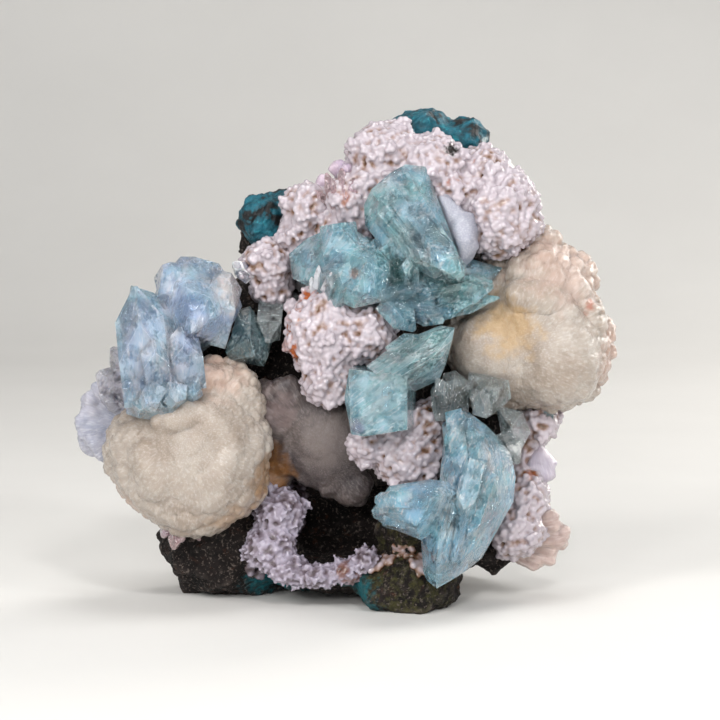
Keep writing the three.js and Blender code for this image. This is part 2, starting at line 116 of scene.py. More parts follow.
def settle(piece):  # its modifiers become its mesh
    bpy.context.view_layer.update()
    graph = bpy.context.evaluated_depsgraph_get()
    mesh = bpy.data.meshes.new_from_object(piece.evaluated_get(graph))
    old = piece.data
    piece.modifiers.clear()
    piece.data = mesh
    mesh.name = piece.name
    bpy.data.meshes.remove(old)


def remesh(piece, voxel, smoothing=0):
    modifier = piece.modifiers.new("Remesh", "REMESH")
    modifier.mode = "VOXEL"
    modifier.voxel_size = voxel * mm
    modifier.use_smooth_shade = True
    if smoothing:
        modifier = piece.modifiers.new("Smooth", "SMOOTH")
        modifier.factor = 0.5
        modifier.iterations = smoothing


def rounded(piece, voxel, smoothing, fine):  # softens the whole shape, then gives it a fine mesh again
    remesh(piece, voxel, smoothing)
    modifier = piece.modifiers.new("Subdivision", "SUBSURF")
    modifier.levels = 1
    modifier.render_levels = 1
    remesh(piece, fine)


# The marked bevel faces carry a painted highlight: the crystal material paints them white.
def bevelled(piece, width, segments):  # bevels the edges and marks the new faces, for their colour
    for _ in range(2):
        piece.data.materials.append(None)
    modifier = piece.modifiers.new("Bevel", "BEVEL")
    modifier.width = width * mm
    modifier.segments = segments
    modifier.limit_method = "ANGLE"
    modifier.angle_limit = math.radians(bevelAngle)
    modifier.material = 1
    settle(piece)
    marks = [float(face.material_index == 1) for face in piece.data.polygons]
    edges = piece.data.attributes.new("edge", "FLOAT", "FACE")
    edges.data.foreach_set("value", marks)
    piece.data.polygons.foreach_set("material_index", [0] * len(marks))


def keptInside(piece):  # no vertex beyond the CAD box
    for v in piece.data.vertices:
        v.co = [min(max(c, low), high) for c, low, high in zip(v.co, *cadBox)]


def finished(piece, nodeName, material):
    piece.data.materials.clear()
    piece.data.materials.append(material)
    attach(piece, "root")
    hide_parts(nodeName)
    print("made", piece.name, len(piece.data.polygons), "faces")


# Node trees

def fill(tree, node, inputs):  # links what is a socket, and sets what is a value
    for name, value in inputs.items():
        if isinstance(value, bpy.types.NodeSocket):
            tree.links.new(value, node.inputs[name])
        else:
            node.inputs[name].default_value = value


def add(tree, kind, inputs=None, **settings):
    node = tree.nodes.new(kind)
    for name, value in settings.items():
        setattr(node, name, value)
    fill(tree, node, inputs or {})
    return node


def geometryTree(name):
    tree = bpy.data.node_groups.new(name, "GeometryNodeTree")
    tree.interface.new_socket("Geometry", in_out="INPUT", socket_type="NodeSocketGeometry")
    tree.interface.new_socket("Geometry", in_out="OUTPUT", socket_type="NodeSocketGeometry")
    start = add(tree, "NodeGroupInput")
    end = add(tree, "NodeGroupOutput")
    return tree, start.outputs[0], end.inputs[0]


def useTree(piece, tree, result, end):
    tree.links.new(result, end)
    modifier = piece.modifiers.new(tree.name, "NODES")
    modifier.node_group = tree


def vectorMath(tree, operation, a, b=None, scale=None):
    inputs = {0: a}
    if b is not None:
        inputs[1] = b
    if scale is not None:
        inputs["Scale"] = scale
    node = add(tree, "ShaderNodeVectorMath", inputs, operation=operation)
    return node.outputs["Value" if operation in ("DISTANCE", "DOT_PRODUCT") else "Vector"]


def maths(tree, operation, a, b=0.0, clamp=False):
    return add(tree, "ShaderNodeMath", {0: a, 1: b}, operation=operation, use_clamp=clamp).outputs[0]


def plus(tree, a, b):
    return maths(tree, "ADD", a, b)


def minus(tree, a, b):
    return maths(tree, "SUBTRACT", a, b)


def times(tree, a, b):
    return maths(tree, "MULTIPLY", a, b)


def spread(tree, value, low, high, newLow=0.0, newHigh=1.0):
    inputs = {"Value": value, "From Min": low, "From Max": high, "To Min": newLow, "To Max": newHigh}
    return add(tree, "ShaderNodeMapRange", inputs, clamp=True).outputs[0]


def noise(tree, place, grain, detail=4.0, rough=0.55, warp=0.0):  # grain: the size of one swell, in mm
    inputs = {"Vector": place, "Scale": 1 / (grain * mm), "Detail": detail, "Roughness": rough}
    return add(tree, "ShaderNodeTexNoise", {**inputs, "Distortion": warp}).outputs[0]


def cells(tree, place, grain, **settings):  # grain: the size of one cell, in mm
    inputs = {"Vector": place, "Scale": 1 / (grain * mm)}
    return add(tree, "ShaderNodeTexVoronoi", inputs, **settings)


def chanceBetween(tree, low, high, seed):
    return add(tree, "FunctionNodeRandomValue", {2: low, 3: high, "Seed": seed}).outputs[1]


# Scatters copies of a small form over a piece's skin, each with a spin, a lean, a size and a depth.
def scatter(piece, form, plan, seed):
    tree, start, end = geometryTree(piece.name + "_scatter")
    density = plan["density"] / mm**2
    inputs = {"Mesh": start, "Distance Min": plan["spacing"] * mm, "Density Max": density, "Seed": seed}
    points = add(tree, "GeometryNodeDistributePointsOnFaces", inputs, distribute_method="POISSON")
    spin = chanceBetween(tree, 0.0, math.tau, seed + 1)
    inputs = {0: (-plan["lean"],) * 3, 1: (plan["lean"],) * 3, "Seed": seed + 2}
    lean = add(tree, "FunctionNodeRandomValue", inputs, data_type="FLOAT_VECTOR").outputs[0]
    spun = add(tree, "ShaderNodeCombineXYZ", {2: spin}).outputs[0]
    both = vectorMath(tree, "ADD", spun, lean)
    by = add(tree, "FunctionNodeEulerToRotation", {0: both}).outputs[0]
    inputs = {0: points.outputs["Rotation"], 1: by}
    turn = add(tree, "FunctionNodeRotateRotation", inputs, rotation_space="LOCAL").outputs[0]
    low, high = plan["sizes"]
    size = chanceBetween(tree, low, high, seed + 3)
    low, high = plan["sink"]
    depth = chanceBetween(tree, -high * mm, -low * mm, seed + 4)
    offset = vectorMath(tree, "SCALE", points.outputs["Normal"], scale=depth)
    inputs = {"Geometry": points.outputs["Points"], "Offset": offset}
    moved = add(tree, "GeometryNodeSetPosition", inputs).outputs[0]
    shape = add(tree, "GeometryNodeObjectInfo", {"Object": form, "As Instance": True}).outputs["Geometry"]
    inputs = {"Points": moved, "Instance": shape, "Rotation": turn, "Scale": size}
    copies = add(tree, "GeometryNodeInstanceOnPoints", inputs).outputs[0]
    real = add(tree, "GeometryNodeRealizeInstances", {0: copies}).outputs[0]
    join = add(tree, "GeometryNodeJoinGeometry")
    tree.links.new(start, join.inputs[0])
    tree.links.new(real, join.inputs[0])
    useTree(piece, tree, join.outputs[0], end)


def lobes(tree, place, domes):  # centre, radius and height in mm: the highest dome counts
    bulge = 0.0
    for centre, radius, height in domes:
        away = vectorMath(tree, "DISTANCE", place, Vector(centre) * mm)
        away = maths(tree, "DIVIDE", away, radius * mm)
        dome = maths(tree, "SUBTRACT", 1.0, times(tree, away, away), True)
        bulge = maths(tree, "MAXIMUM", bulge, times(tree, dome, height * mm))
    return bulge


petalShape = {
    "towardsEye": -0.85, "sideways": -0.2,  # the lie of a ray where petals are least, and where they are full
    "blend": 0.08, "halfWidth": 0.62, "valley": 0.75, "tooth": 0.4,  # shares of a cell
}


# Petals, a fine comb and fibres along the rays from a sheaf's heart. The side that faces the eye keeps
# only a share of the petals and the comb.
def petals(tree, place, plan):
    shape = petalShape
    ray = vectorMath(tree, "NORMALIZE", vectorMath(tree, "SUBTRACT", place, plan["heart"]))
    facing = add(tree, "ShaderNodeSeparateXYZ", {0: ray}).outputs["Y"]
    rim = spread(tree, facing, shape["towardsEye"], shape["sideways"], plan["frontShare"], 1.0)
    fan = vectorMath(tree, "SCALE", ray, scale=plan["reach"] * mm)
    petalCells = cells(tree, fan, plan["petal"], feature="SMOOTH_F1")
    fill(tree, petalCells, {"Smoothness": shape["blend"]})
    away = maths(tree, "DIVIDE", petalCells.outputs["Distance"], shape["halfWidth"])
    dome = maths(tree, "SQRT", maths(tree, "SUBTRACT", 1.0, times(tree, away, away), True))
    petal = times(tree, minus(tree, dome, shape["valley"]), plan["petalRise"] * mm)
    tooth = minus(tree, shape["tooth"], cells(tree, fan, plan["comb"]).outputs["Distance"])
    tooth = times(tree, tooth, plan["combRise"] * mm)
    fibre = minus(tree, noise(tree, fan, plan["fibre"], 3.0, 0.6), 0.5)
    fibre = times(tree, fibre, plan["fibreRise"] * 2 * mm)
    return plus(tree, plus(tree, times(tree, petal, rim), times(tree, tooth, rim)), fibre)


# Moves a piece's skin in and out: by coarse and fine noise, by the edges of plates, and on a sheaf
# by broad lobes and by its petals.
def weather(piece, plan):
    tree, start, end = geometryTree(piece.name + "_weather")
    place = add(tree, "GeometryNodeInputPosition").outputs[0]
    normal = add(tree, "GeometryNodeInputNormal").outputs[0]
    rise = -plan["shrink"] * mm
    for grain, height, detail in plan["swells"]:
        swell = minus(tree, noise(tree, place, grain, detail, 0.6), 0.5)
        rise = plus(tree, rise, times(tree, swell, height * 2 * mm))
    for grain, height in plan.get("plates", []):
        plate = cells(tree, place, grain, distance="CHEBYCHEV").outputs["Distance"]
        rise = plus(tree, rise, times(tree, minus(tree, 0.45, plate), height * mm))
    if "lobes" in plan:
        rise = plus(tree, rise, lobes(tree, place, plan["lobes"]))
    if "heart" in plan:
        rise = plus(tree, rise, petals(tree, place, plan))
    inputs = {"Geometry": start, "Offset": vectorMath(tree, "SCALE", normal, scale=rise)}
    moved = add(tree, "GeometryNodeSetPosition", inputs)
    useTree(piece, tree, moved.outputs[0], end)


# Marks how far each place of a piece stands out from the shape beneath it, for its colour: tan staining and
# painted shade in the low places.
def markSwell(piece, under, height):
    tree, start, end = geometryTree(piece.name + "_swell")
    below = add(tree, "GeometryNodeObjectInfo", {"Object": under}).outputs["Geometry"]
    near = add(tree, "GeometryNodeProximity", {0: below}, target_element="FACES").outputs["Distance"]
    inputs = {"Geometry": start, "Name": "swell", "Value": spread(tree, near, 0.0, height * mm)}
    kept = add(tree, "GeometryNodeStoreNamedAttribute", inputs, data_type="FLOAT", domain="POINT")
    useTree(piece, tree, kept.outputs[0], end)
    settle(piece)


# Materials

def newMaterial(name):
    material = bpy.data.materials.new(name)
    material.use_nodes = True
    tree = material.node_tree
    tree.nodes.clear()
    shader = add(tree, "ShaderNodeBsdfPrincipled")
    add(tree, "ShaderNodeOutputMaterial", {"Surface": shader.outputs[0]})
    place = add(tree, "ShaderNodeTexCoord").outputs["Object"]
    return material, tree, shader, place


def colour(hexCode):
    parts = [int(hexCode[i:i + 2], 16) / 255 for i in (0, 2, 4)]
    return tuple(c / 12.92 if c <= 0.04045 else ((c + 0.055) / 1.055) ** 2.4 for c in parts) + (1.0,)


def tinted(tree, under, share, hexCode):  # a colour laid over another
    under = colour(under) if isinstance(under, str) else under
    inputs = {"Factor": share, 6: under, 7: colour(hexCode)}
    return add(tree, "ShaderNodeMix", inputs, data_type="RGBA").outputs[2]


# Lays colours over each other by noise: colour, grain in mm, detail, roughness, the noise at which it
# begins and is full, its share.
def mottled(tree, place, body, layers):
    for hexCode, grain, detail, rough, low, high, share in layers:
        mottle = spread(tree, noise(tree, place, grain, detail, rough), low, high, 0.0, share)
        body = tinted(tree, body, mottle, hexCode)
    return body


stainEdge = {"grain": 1.2, "ragged": 1.6, "core": 0.45}  # mm, and shares of a stain's radius


def stain(tree, place, centre, radius, grain=stainEdge["grain"]):  # 1 at its core, ragged towards its edge
    away = vectorMath(tree, "DISTANCE", place, Vector(centre) * mm)
    ragged = times(tree, minus(tree, noise(tree, place, grain), 0.5), radius * stainEdge["ragged"] * mm)
    return spread(tree, plus(tree, away, ragged), radius * stainEdge["core"] * mm, radius * mm, 1.0, 0.0)


def stained(tree, place, body, stains, grain):  # colour, centre and radius in mm, share
    for hexCode, centre, radius, share in stains:
        shown = times(tree, stain(tree, place, centre, radius, grain), share)
        body = tinted(tree, body, shown, hexCode)
    return body


def drawnOut(tree, place, turn, stretch):  # coordinates in which a pattern is long in one direction
    inputs = {"Vector": place, "Rotation": turn, "Scale": (1.0, 1.0, stretch)}
    return add(tree, "ShaderNodeMapping", inputs, vector_type="TEXTURE").outputs[0]


def facets(tree, place, turn, grain, stretch):  # a mosaic of small tilted planes, for a bump
    flat = vectorMath(tree, "SCALE", drawnOut(tree, place, turn, stretch), scale=1 / (grain * mm))
    plane = add(tree, "ShaderNodeTexVoronoi", {"Vector": flat, "Scale": 1.0}).outputs
    tilt = vectorMath(tree, "SUBTRACT", plane["Color"], (0.5, 0.5, 0.5))
    return vectorMath(tree, "DOT_PRODUCT", tilt, vectorMath(tree, "SUBTRACT", flat, plane["Position"]))


def bump(tree, height, depth):
    return add(tree, "ShaderNodeBump", {"Height": height, "Distance": depth * mm}).outputs[0]


basaltLook = {
    "dark": "040303",
    "layers": [
        ("28201e", 5.0, 6.0, 0.7, 0.35, 0.65, 1.0),
        ("7d7169", 0.7, 3.0, 0.6, 0.56, 0.66, 0.7),
        ("57301a", 2.6, 5.0, 0.7, 0.58, 0.7, 0.6),
    ],
    "olive": "4a4828", "olivePlace": ((12, -18, 8), 17), "moss": (1.8, 5.0, 0.7), "mossShows": (0.46, 0.64),
    "green": "14707a", "greenPlaces": [((-15, -2, 2), 8), ((4, -14, 3), 6)], "greenShare": 0.8,
    "ridgeTone": "7d7169", "ridges": (0.52, 0.62), "ridgeShare": 0.45,
    "glossGrain": 1.5, "glossShows": (0.3, 0.7), "gloss": (0.55, 0.85), "specular": 0.25,
    "grit": (1.0, 7.0, 0.8), "chip": 1.4, "chipTurn": (0.4, 0.2, 0.0), "relief": 1.1,
}


def basaltMaterial():
    material, tree, shader, place = newMaterial("basalt")
    look = basaltLook
    body = mottled(tree, place, look["dark"], look["layers"])
    mossy = spread(tree, noise(tree, place, *look["moss"]), *look["mossShows"])
    body = tinted(tree, body, times(tree, stain(tree, place, *look["olivePlace"]), mossy), look["olive"])
    green = maths(tree, "MAXIMUM", *[stain(tree, place, *where) for where in look["greenPlaces"]])
    body = tinted(tree, body, times(tree, green, look["greenShare"]), look["green"])
    # Lighter grey on the sharp ridges, where the Pointiness is high.
    ridges = spread(tree, add(tree, "ShaderNodeNewGeometry").outputs["Pointiness"], *look["ridges"])
    body = tinted(tree, body, times(tree, ridges, look["ridgeShare"]), look["ridgeTone"])
    gloss = noise(tree, place, look["glossGrain"])
    grit = noise(tree, place, *look["grit"])
    chips = facets(tree, place, look["chipTurn"], look["chip"], 1.0)
    fill(tree, shader, {
        "Base Color": body,
        "Roughness": spread(tree, gloss, *look["glossShows"], *look["gloss"]),
        "Specular IOR Level": look["specular"],
        "Normal": bump(tree, plus(tree, grit, chips), look["relief"]),
    })
    return material


celadoniteLook = {
    "deep": "032f3a",
    "layers": [
        ("075f70", 3.0, 6.0, 0.65, 0.35, 0.6, 1.0),
        ("2a8794", 1.4, 4.0, 0.6, 0.56, 0.72, 1.0),
    ],
    "black": "060809", "veins": (5.0, 3.0, 0.6, 0.4), "veinsShow": (0.53, 0.6),
    "stains": [("060809", (28.9, 2.8, 103.6), 2.6, 1.0), ("c9d2d0", (31.6, 5.0, 101.0), 1.6, 1.0)],
    "roughness": 0.42, "grit": (0.8, 5.0, 0.7), "relief": 0.5,
}


def celadoniteMaterial():
    material, tree, shader, place = newMaterial("celadonite")
    look = celadoniteLook
    body = mottled(tree, place, look["deep"], look["layers"])
    veins = spread(tree, noise(tree, place, *look["veins"]), *look["veinsShow"])
    body = tinted(tree, body, veins, look["black"])
    fill(tree, shader, {
        "Base Color": stained(tree, place, body, look["stains"], stainEdge["grain"]),
        "Roughness": look["roughness"],
        "Normal": bump(tree, noise(tree, place, *look["grit"]), look["relief"]),
    })
    return material


beadTones = {
    # The two darkest tones, and the deep colour under them, are tan iron staining and painted shade in the
    # crevices between the beads.
    "tones": [("creviceStainAndShade", 0.08, 0.42), ("pink", 0.3, 0.6), ("white", 0.52, 0.92)],  # swell: begins, full
    "sheltered": (0.45, 1.05, 1.0, 0.12),  # swell from and to, and what is left of the rust there
    "rustShows": (0.1, 0.6), "patch": 3.0, "patchShare": 0.5, "spotGrain": 0.8,
}


# From the crevices between the beads to their tops: the low places are tan iron staining and painted shade,
# darker the deeper they lie; rust keeps to the lower places.
def chalcedonyMaterial(name, look):
    tones = beadTones
    material, tree, shader, place = newMaterial(name)
    swell = add(tree, "ShaderNodeAttribute", attribute_name="swell").outputs["Fac"]
    patch = minus(tree, noise(tree, place, tones["patch"]), 0.5)
    swell = plus(tree, swell, times(tree, patch, tones["patchShare"]))
    body = look["deep"]
    for tone, begins, full in tones["tones"]:
        body = tinted(tree, body, spread(tree, swell, begins, full), look[tone])
    sheltered = spread(tree, swell, *tones["sheltered"])
    for centre, radius, strength in look["rusted"]:
        rust = times(tree, stain(tree, place, centre, radius), sheltered)
        rust = spread(tree, rust, *tones["rustShows"])
        body = tinted(tree, body, maths(tree, "MULTIPLY", rust, strength, True), look["rust"])
    fill(tree, shader, {
        "Base Color": stained(tree, place, body, look["stains"], tones["spotGrain"]),
        "Roughness": 0.22,
        "Subsurface Weight": 0.2,
        "Subsurface Radius": (1.0, 0.75, 0.7),
        "Subsurface Scale": 0.8 * mm,
        "Coat Weight": 0.5,
        "Coat Roughness": 0.1,
        "Normal": bump(tree, noise(tree, place, look["sugar"], 3.0, 0.6), look["sugarRise"]),
    })
    return material


crustLook = {
    # the darkest two colours: tan staining and painted shade in the crevices
    "white": "b0a6ac", "pink": "9b8784", "creviceStainAndShade": "7d5d48", "deep": "4a3222",
    "sugar": 0.4, "sugarRise": 0.06, "rust": "9a5028",
    "rusted": [
        ((-11.5, -11.5, 63.5), 3.8, 1.2), ((-12, -12, 57.5), 3.8, 1.2), ((-8, -11, 69), 3.4, 1.1),
        ((-22.5, 0, 73), 4.0, 0.8), ((28.2, -5, 96.7), 1.6, 0.8), ((23.3, -8.3, 92.5), 1.8, 0.6),
        ((40.8, -2.8, 27.5), 2.2, 0.7), ((40.5, -7.5, 13.6), 1.3, 1.0), ((0.2, -9, 89), 3.0, 0.4),
        ((2, -16, 41), 3.0, 0.7)],
    "stains": [("0e4a4c", (44.9, -0.5, 41.1), 1.7, 1.0), ("1a1512", (23.3, -7, 99.6), 2.0, 1.0)],
}
liningLook = {
    # the darkest two colours: brown staining and painted shade in the crevices of the hollow
    "white": "9f97a5", "pink": "827783", "creviceStainAndShade": "5c4f55", "deep": "423538",
    "sugar": 0.5, "sugarRise": 0.25, "rust": "7d4a30",
    "rusted": [((1, -13, 8), 4.0, 0.5)], "stains": [],
}


sheafGrain = {
    "squash": (1.0, 0.25, 1.0), "reach": 16, "drift": 0.12, "streak": (0.7, 5.0, 0.7),
    "streakShows": (0.48, 0.75), "patch": (8.0, 4.0, 0.55, 0.35, 0.65, 1.0), "stainGrain": 3.0,
    "sugar": (0.8, 1.6), "streakRise": 0.9, "sugarRise": 0.5,
}


def radialStreaks(tree, place, heart):  # fine lines that run away from the sheaf's heart
    grain = sheafGrain
    away = vectorMath(tree, "MULTIPLY", vectorMath(tree, "SUBTRACT", place, heart), grain["squash"])
    ray = vectorMath(tree, "SCALE", vectorMath(tree, "NORMALIZE", away), scale=grain["reach"] * mm)
    drift = vectorMath(tree, "SCALE", away, scale=grain["drift"])
    return noise(tree, vectorMath(tree, "ADD", ray, drift), *grain["streak"])


def stilbiteMaterial(name, look):
    material, tree, shader, place = newMaterial(name)
    grain = sheafGrain
    body = mottled(tree, place, look["base"], [(look["second"], *grain["patch"])])
    streaks = radialStreaks(tree, place, look["heart"])
    shown = spread(tree, streaks, *grain["streakShows"], 0.0, look["streaky"])
    body = tinted(tree, body, shown, look["streak"])
    sugar = facets(tree, place, (0.0, 0.0, 0.0), *grain["sugar"])
    fine = plus(tree, times(tree, streaks, grain["streakRise"]), times(tree, sugar, grain["sugarRise"]))
    fill(tree, shader, {
        "Base Color": stained(tree, place, body, look["stains"], grain["stainGrain"]),
        "Roughness": 0.35,
        "Subsurface Weight": look["glow"],
        "Subsurface Radius": (1.0, 0.85, 0.7),
        "Subsurface Scale": 2.8 * mm,
        "Coat Weight": 0.9,
        "Coat Roughness": 0.08,
        "Normal": bump(tree, fine, look["relief"]),
        "Coat Normal": bump(tree, plus(tree, fine, sugar), look["sparkle"]),
    })
    return material


# Clear and milky zones, fine lines along the crystals, small chips that glint, and white edges, cells and
# streaks painted in as highlights and reflections. Patterns: grain in mm, detail, roughness and warp. A
# stretch says how far a pattern is drawn out along the crystals.
crystalZones = {
    "tint": (9.0, 2.0, 0.5, 0.35, 0.65, 1.0), "clear": (7.0, 2.0, 0.5), "clearShows": (0.35, 0.65),
    "wisp": (4.5, 4.0, 0.6, 0.6), "wispShows": (0.5, 0.72), "wispStretch": 2.2,
    "thread": (0.45, 3.0, 0.6), "threadShows": (0.57, 0.64), "lineStretch": 9.0,
    "line": (0.9, 5.0, 0.7), "lineShows": (0.45, 0.75), "lineRise": 0.25,
    # planes: white cells painted in as reflections off cleavage planes and, at the finer grain, as glints
    "planes": [(2.2, 0.8, 0.1), (0.9, 0.9, 0.3)], "planeEdge": 0.04,  # grain, least value picked, share
    "crinkle": (3.0, 3.0, 0.5), "crinkleShows": (0.44, 0.56), "leastChips": 0.15,
    "chipStretch": 2.2, "smallChip": 0.45, "smallStretch": 1.6, "smallRise": 0.6,
    "stainGrain": 2.0,
}


def crystalMaterial(name, look):
    material, tree, shader, place = newMaterial(name)
    zones = crystalZones
    turn = look["grainTurn"]
    long = drawnOut(tree, place, turn, zones["lineStretch"])
    drawn = drawnOut(tree, place, turn, zones["wispStretch"])
    lines = noise(tree, long, *zones["line"])
    # Thin white streaks along the crystals: partly their real veils, partly painted reflections off fractures
    # inside.
    threadsAndGlintLines = spread(tree, noise(tree, long, *zones["thread"]), *zones["threadShows"], 0.0, look["thread"])
    wisps = spread(tree, noise(tree, drawn, *zones["wisp"]), *zones["wispShows"], 0.0, look["milk"])
    # Painted highlight: the bevelled edges take the white veil colour and let less light through.
    edge = add(tree, "ShaderNodeAttribute", attribute_name="edge").outputs["Fac"]
    edge = times(tree, edge, look["edge"])
    body = mottled(tree, place, look["tint"], [(look["mint"], *zones["tint"])])
    body = tinted(tree, body, wisps, look["veil"])
    body = tinted(tree, body, threadsAndGlintLines, look["veil"])
    # Painted reflections and glints: white cells along the crystals, as if cleavage planes inside caught the
    # light.
    for grain, least, share in zones["planes"]:
        plane = cells(tree, drawn, grain).outputs["Color"]
        value = add(tree, "ShaderNodeSeparateColor", {0: plane}).outputs[0]
        picked = spread(tree, value, least, least + zones["planeEdge"], 0.0, share)
        body = tinted(tree, body, picked, look["veil"])
    body = stained(tree, place, body, look["stains"], zones["stainGrain"])
    # painted highlight along the bevelled edges
    body = tinted(tree, body, edge, look["veil"])
    clear = noise(tree, place, *zones["clear"])
    clear = spread(tree, clear, *zones["clearShows"], look["clear"], look["milky"])
    chips = facets(tree, place, turn, look["facet"], zones["chipStretch"])
    smallChips = facets(tree, place, turn, look["facet"] * zones["smallChip"], zones["smallStretch"])
    chips = plus(tree, chips, times(tree, smallChips, zones["smallRise"]))
    crinkled = spread(tree, noise(tree, place, *zones["crinkle"]), *zones["crinkleShows"])
    chips = times(tree, chips, plus(tree, crinkled, zones["leastChips"]))
    normal = bump(tree, plus(tree, chips, times(tree, lines, zones["lineRise"])), look["relief"])
    fill(tree, shader, {
        "Base Color": body,
        "IOR": 1.535,
        "Transmission Weight": times(tree, clear, minus(tree, 1.0, edge)),
        "Roughness": spread(tree, lines, *zones["lineShows"], look["smooth"], look["rough"]),
        "Subsurface Weight": look["glow"],
        "Subsurface Radius": (0.7, 0.9, 1.0),
        "Subsurface Scale": 2.0 * mm,
        "Coat Weight": 1.0,
        "Coat Roughness": 0.03,
        "Coat IOR": 1.75,
        "Normal": normal,
        "Coat Normal": normal,
    })
    inputs = {"Color": colour(look["absorbed"]), "Density": look["density"]}
    volume = add(tree, "ShaderNodeVolumeAbsorption", inputs)
    fill(tree, tree.nodes["Material Output"], {"Volume": volume.outputs[0]})
    return material


cloudZones = {
    "swirl": (7.0, 3.0, 0.5, 0.6), "swirlShows": (0.3, 0.7), "veil": (1.6, 6.0, 0.65, 1.2),
    "veilShows": (0.5, 0.68), "stretch": 4.0, "facet": 0.7, "stainGrain": 2.5, "grit": (0.6, 4.0, 0.6),
    "relief": 0.8,
}


def cloudMaterial(name, look):  # the milky and coloured zones inside, with the planes that they broke along
    material, tree, shader, place = newMaterial(name)
    zones = cloudZones
    swirl = spread(tree, noise(tree, place, *zones["swirl"]), *zones["swirlShows"])
    body = tinted(tree, look["deep"], swirl, look["aqua"])
    drawn = drawnOut(tree, place, look["grainTurn"], zones["stretch"])
    veil = spread(tree, noise(tree, drawn, *zones["veil"]), *zones["veilShows"], 0.0, look["veilShare"])
    body = tinted(tree, body, veil, look["veil"])
    planes = facets(tree, place, look["grainTurn"], look["facet"] * zones["facet"], zones["stretch"])
    grit = noise(tree, drawn, *zones["grit"])
    fill(tree, shader, {
        "Base Color": stained(tree, place, body, look["stains"], zones["stainGrain"]),
        "Roughness": 0.2,
        "Subsurface Weight": 0.4,
        "Subsurface Radius": (0.6, 0.95, 1.0),
        "Subsurface Scale": 2.0 * mm,
        "Normal": bump(tree, plus(tree, planes, grit), zones["relief"]),
    })
    return material


# Small forms

def beadForm():
    bm = bmesh.new()
    bmesh.ops.create_icosphere(bm, subdivisions=2, radius=mm)
    return linkedForm("beadForm", bm)


# A unit crystal along +Z: a square prism whose point sits cornerwise on it, as in apophyllite.
def addCrystal(bm, point, flat):
    half = 0.5
    corners = [(x, y) for x in (-half, half) for y in (-half, half)]
    middles = [(half, 0), (-half, 0), (0, half), (0, -half)]
    places = [(x, y, 0) for x, y in corners] + [(x, y, 1 - point) for x, y in corners]
    places += [(x, y, 1) for x, y in middles]
    places += [(x * flat, y * flat, 1 + point * (1 - flat)) for x, y in middles]
    verts = [bm.verts.new(place) for place in places]
    bmesh.ops.convex_hull(bm, input=verts)
    return verts


def spikeForm(plan):
    bm = bmesh.new()
    verts = addCrystal(bm, plan["point"], plan["flat"])
    bmesh.ops.translate(bm, verts=verts, vec=(0, 0, -plan["below"]))
    bmesh.ops.scale(bm, verts=verts, vec=[length * mm for length in plan["size"]])
    return linkedForm("spike", bm)


def skinOf(*nodeNames):
    bm = bmesh.new()
    for nodeName in nodeNames:
        bm.from_mesh(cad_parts[nodeName].data)
    skin = BVHTree.FromBMesh(bm)
    bm.free()
    return skin


def onSkin(skin, across, up, proud):  # the place on the skin that the eye sees there, moved towards it
    aim = (fromFront(across, up, 0) - eyePlace()).normalized()
    hit = skin.ray_cast(eyePlace(), aim)[0]
    return None if hit is None else hit - aim * proud * mm


def addDomes(piece, domes):  # place as the eye sees it, radii across, deep and up, lean
    bm = bmesh.new()
    bm.from_mesh(piece.data)
    for place, radii, lean in domes:
        verts = bmesh.ops.create_icosphere(bm, subdivisions=3, radius=mm)["verts"]
        bmesh.ops.scale(bm, verts=verts, vec=radii)
        bmesh.ops.rotate(bm, verts=verts, matrix=Matrix.Rotation(math.radians(lean), 3, "Y"))
        bmesh.ops.translate(bm, verts=verts, vec=fromFront(*place))
    bm.to_mesh(piece.data)
    bm.free()


def crustPatch(name, skin, plan):  # beads in round patches on the skin: centre as the eye sees it, reach
    chance = random.Random(plan["seed"])
    bm = bmesh.new()
    for across, up, reach in plan["patches"]:
        for _ in range(int(plan["density"] * math.pi * reach * reach)):
            angle = chance.uniform(0, math.tau)
            away = reach * math.sqrt(chance.random())
            size = chance.uniform(*plan["sizes"])
            proud = size * chance.uniform(*plan["proud"])
            place = onSkin(skin, across + away * math.cos(angle), up + away * math.sin(angle), proud)
            if place is not None:
                verts = bmesh.ops.create_icosphere(bm, subdivisions=2, radius=size * mm)["verts"]
                bmesh.ops.translate(bm, verts=verts, vec=place)
    return linkedForm(name, bm)


# Shares of a crystal's width, but for "longest": how much longer it may be than the eye sees it.
crystalSeat = {"rootSink": 0.45, "tipSink": 0.3, "thick": 0.85, "longest": 1.3}


# Adds crystals to a piece: root and apex as the eye sees them, width, length of the point as a share,
# turn, flat top, how far they stand out. The root is sunk, so that only the grown end shows.
def placeCrystals(piece, skin, crystals):
    plan = crystalSeat
    bm = bmesh.new()
    bm.from_mesh(piece.data)
    for root, tip, wide, point, turn, flat, proud in crystals:
        start = onSkin(skin, *root, proud - plan["rootSink"] * wide)
        if start is None:
            continue
        end = onSkin(skin, *tip, proud)
        longest = (plan["longest"] * math.dist(root, tip) + wide) * mm
        if end is None or (end - start).length > longest:
            back = (start.y / mm - eye["partDepth"]) / eye["partScale"]
            end = fromFront(*tip, back - plan["tipSink"] * wide)
        axis = end - start
        size = (wide * mm, wide * plan["thick"] * mm, axis.length / (1 + point * (1 - flat)))
        turned = axis.to_track_quat("Z", "Y").to_matrix() @ Matrix.Rotation(math.radians(turn), 3, "Z")
        verts = addCrystal(bm, point, flat)
        bmesh.ops.scale(bm, verts=verts, vec=size)
        bmesh.ops.rotate(bm, verts=verts, matrix=turned)
        bmesh.ops.translate(bm, verts=verts, vec=start)
    bm.to_mesh(piece.data)
    bm.free()


bundleRanges = {
    "place": (0.2, 0.8), "begin": (-0.1, 0.35), "end": (0.45, 0.85), "turn": (-9, 9),
    "point": (0.15, 0.3), "flat": (0.12, 0.4),
}


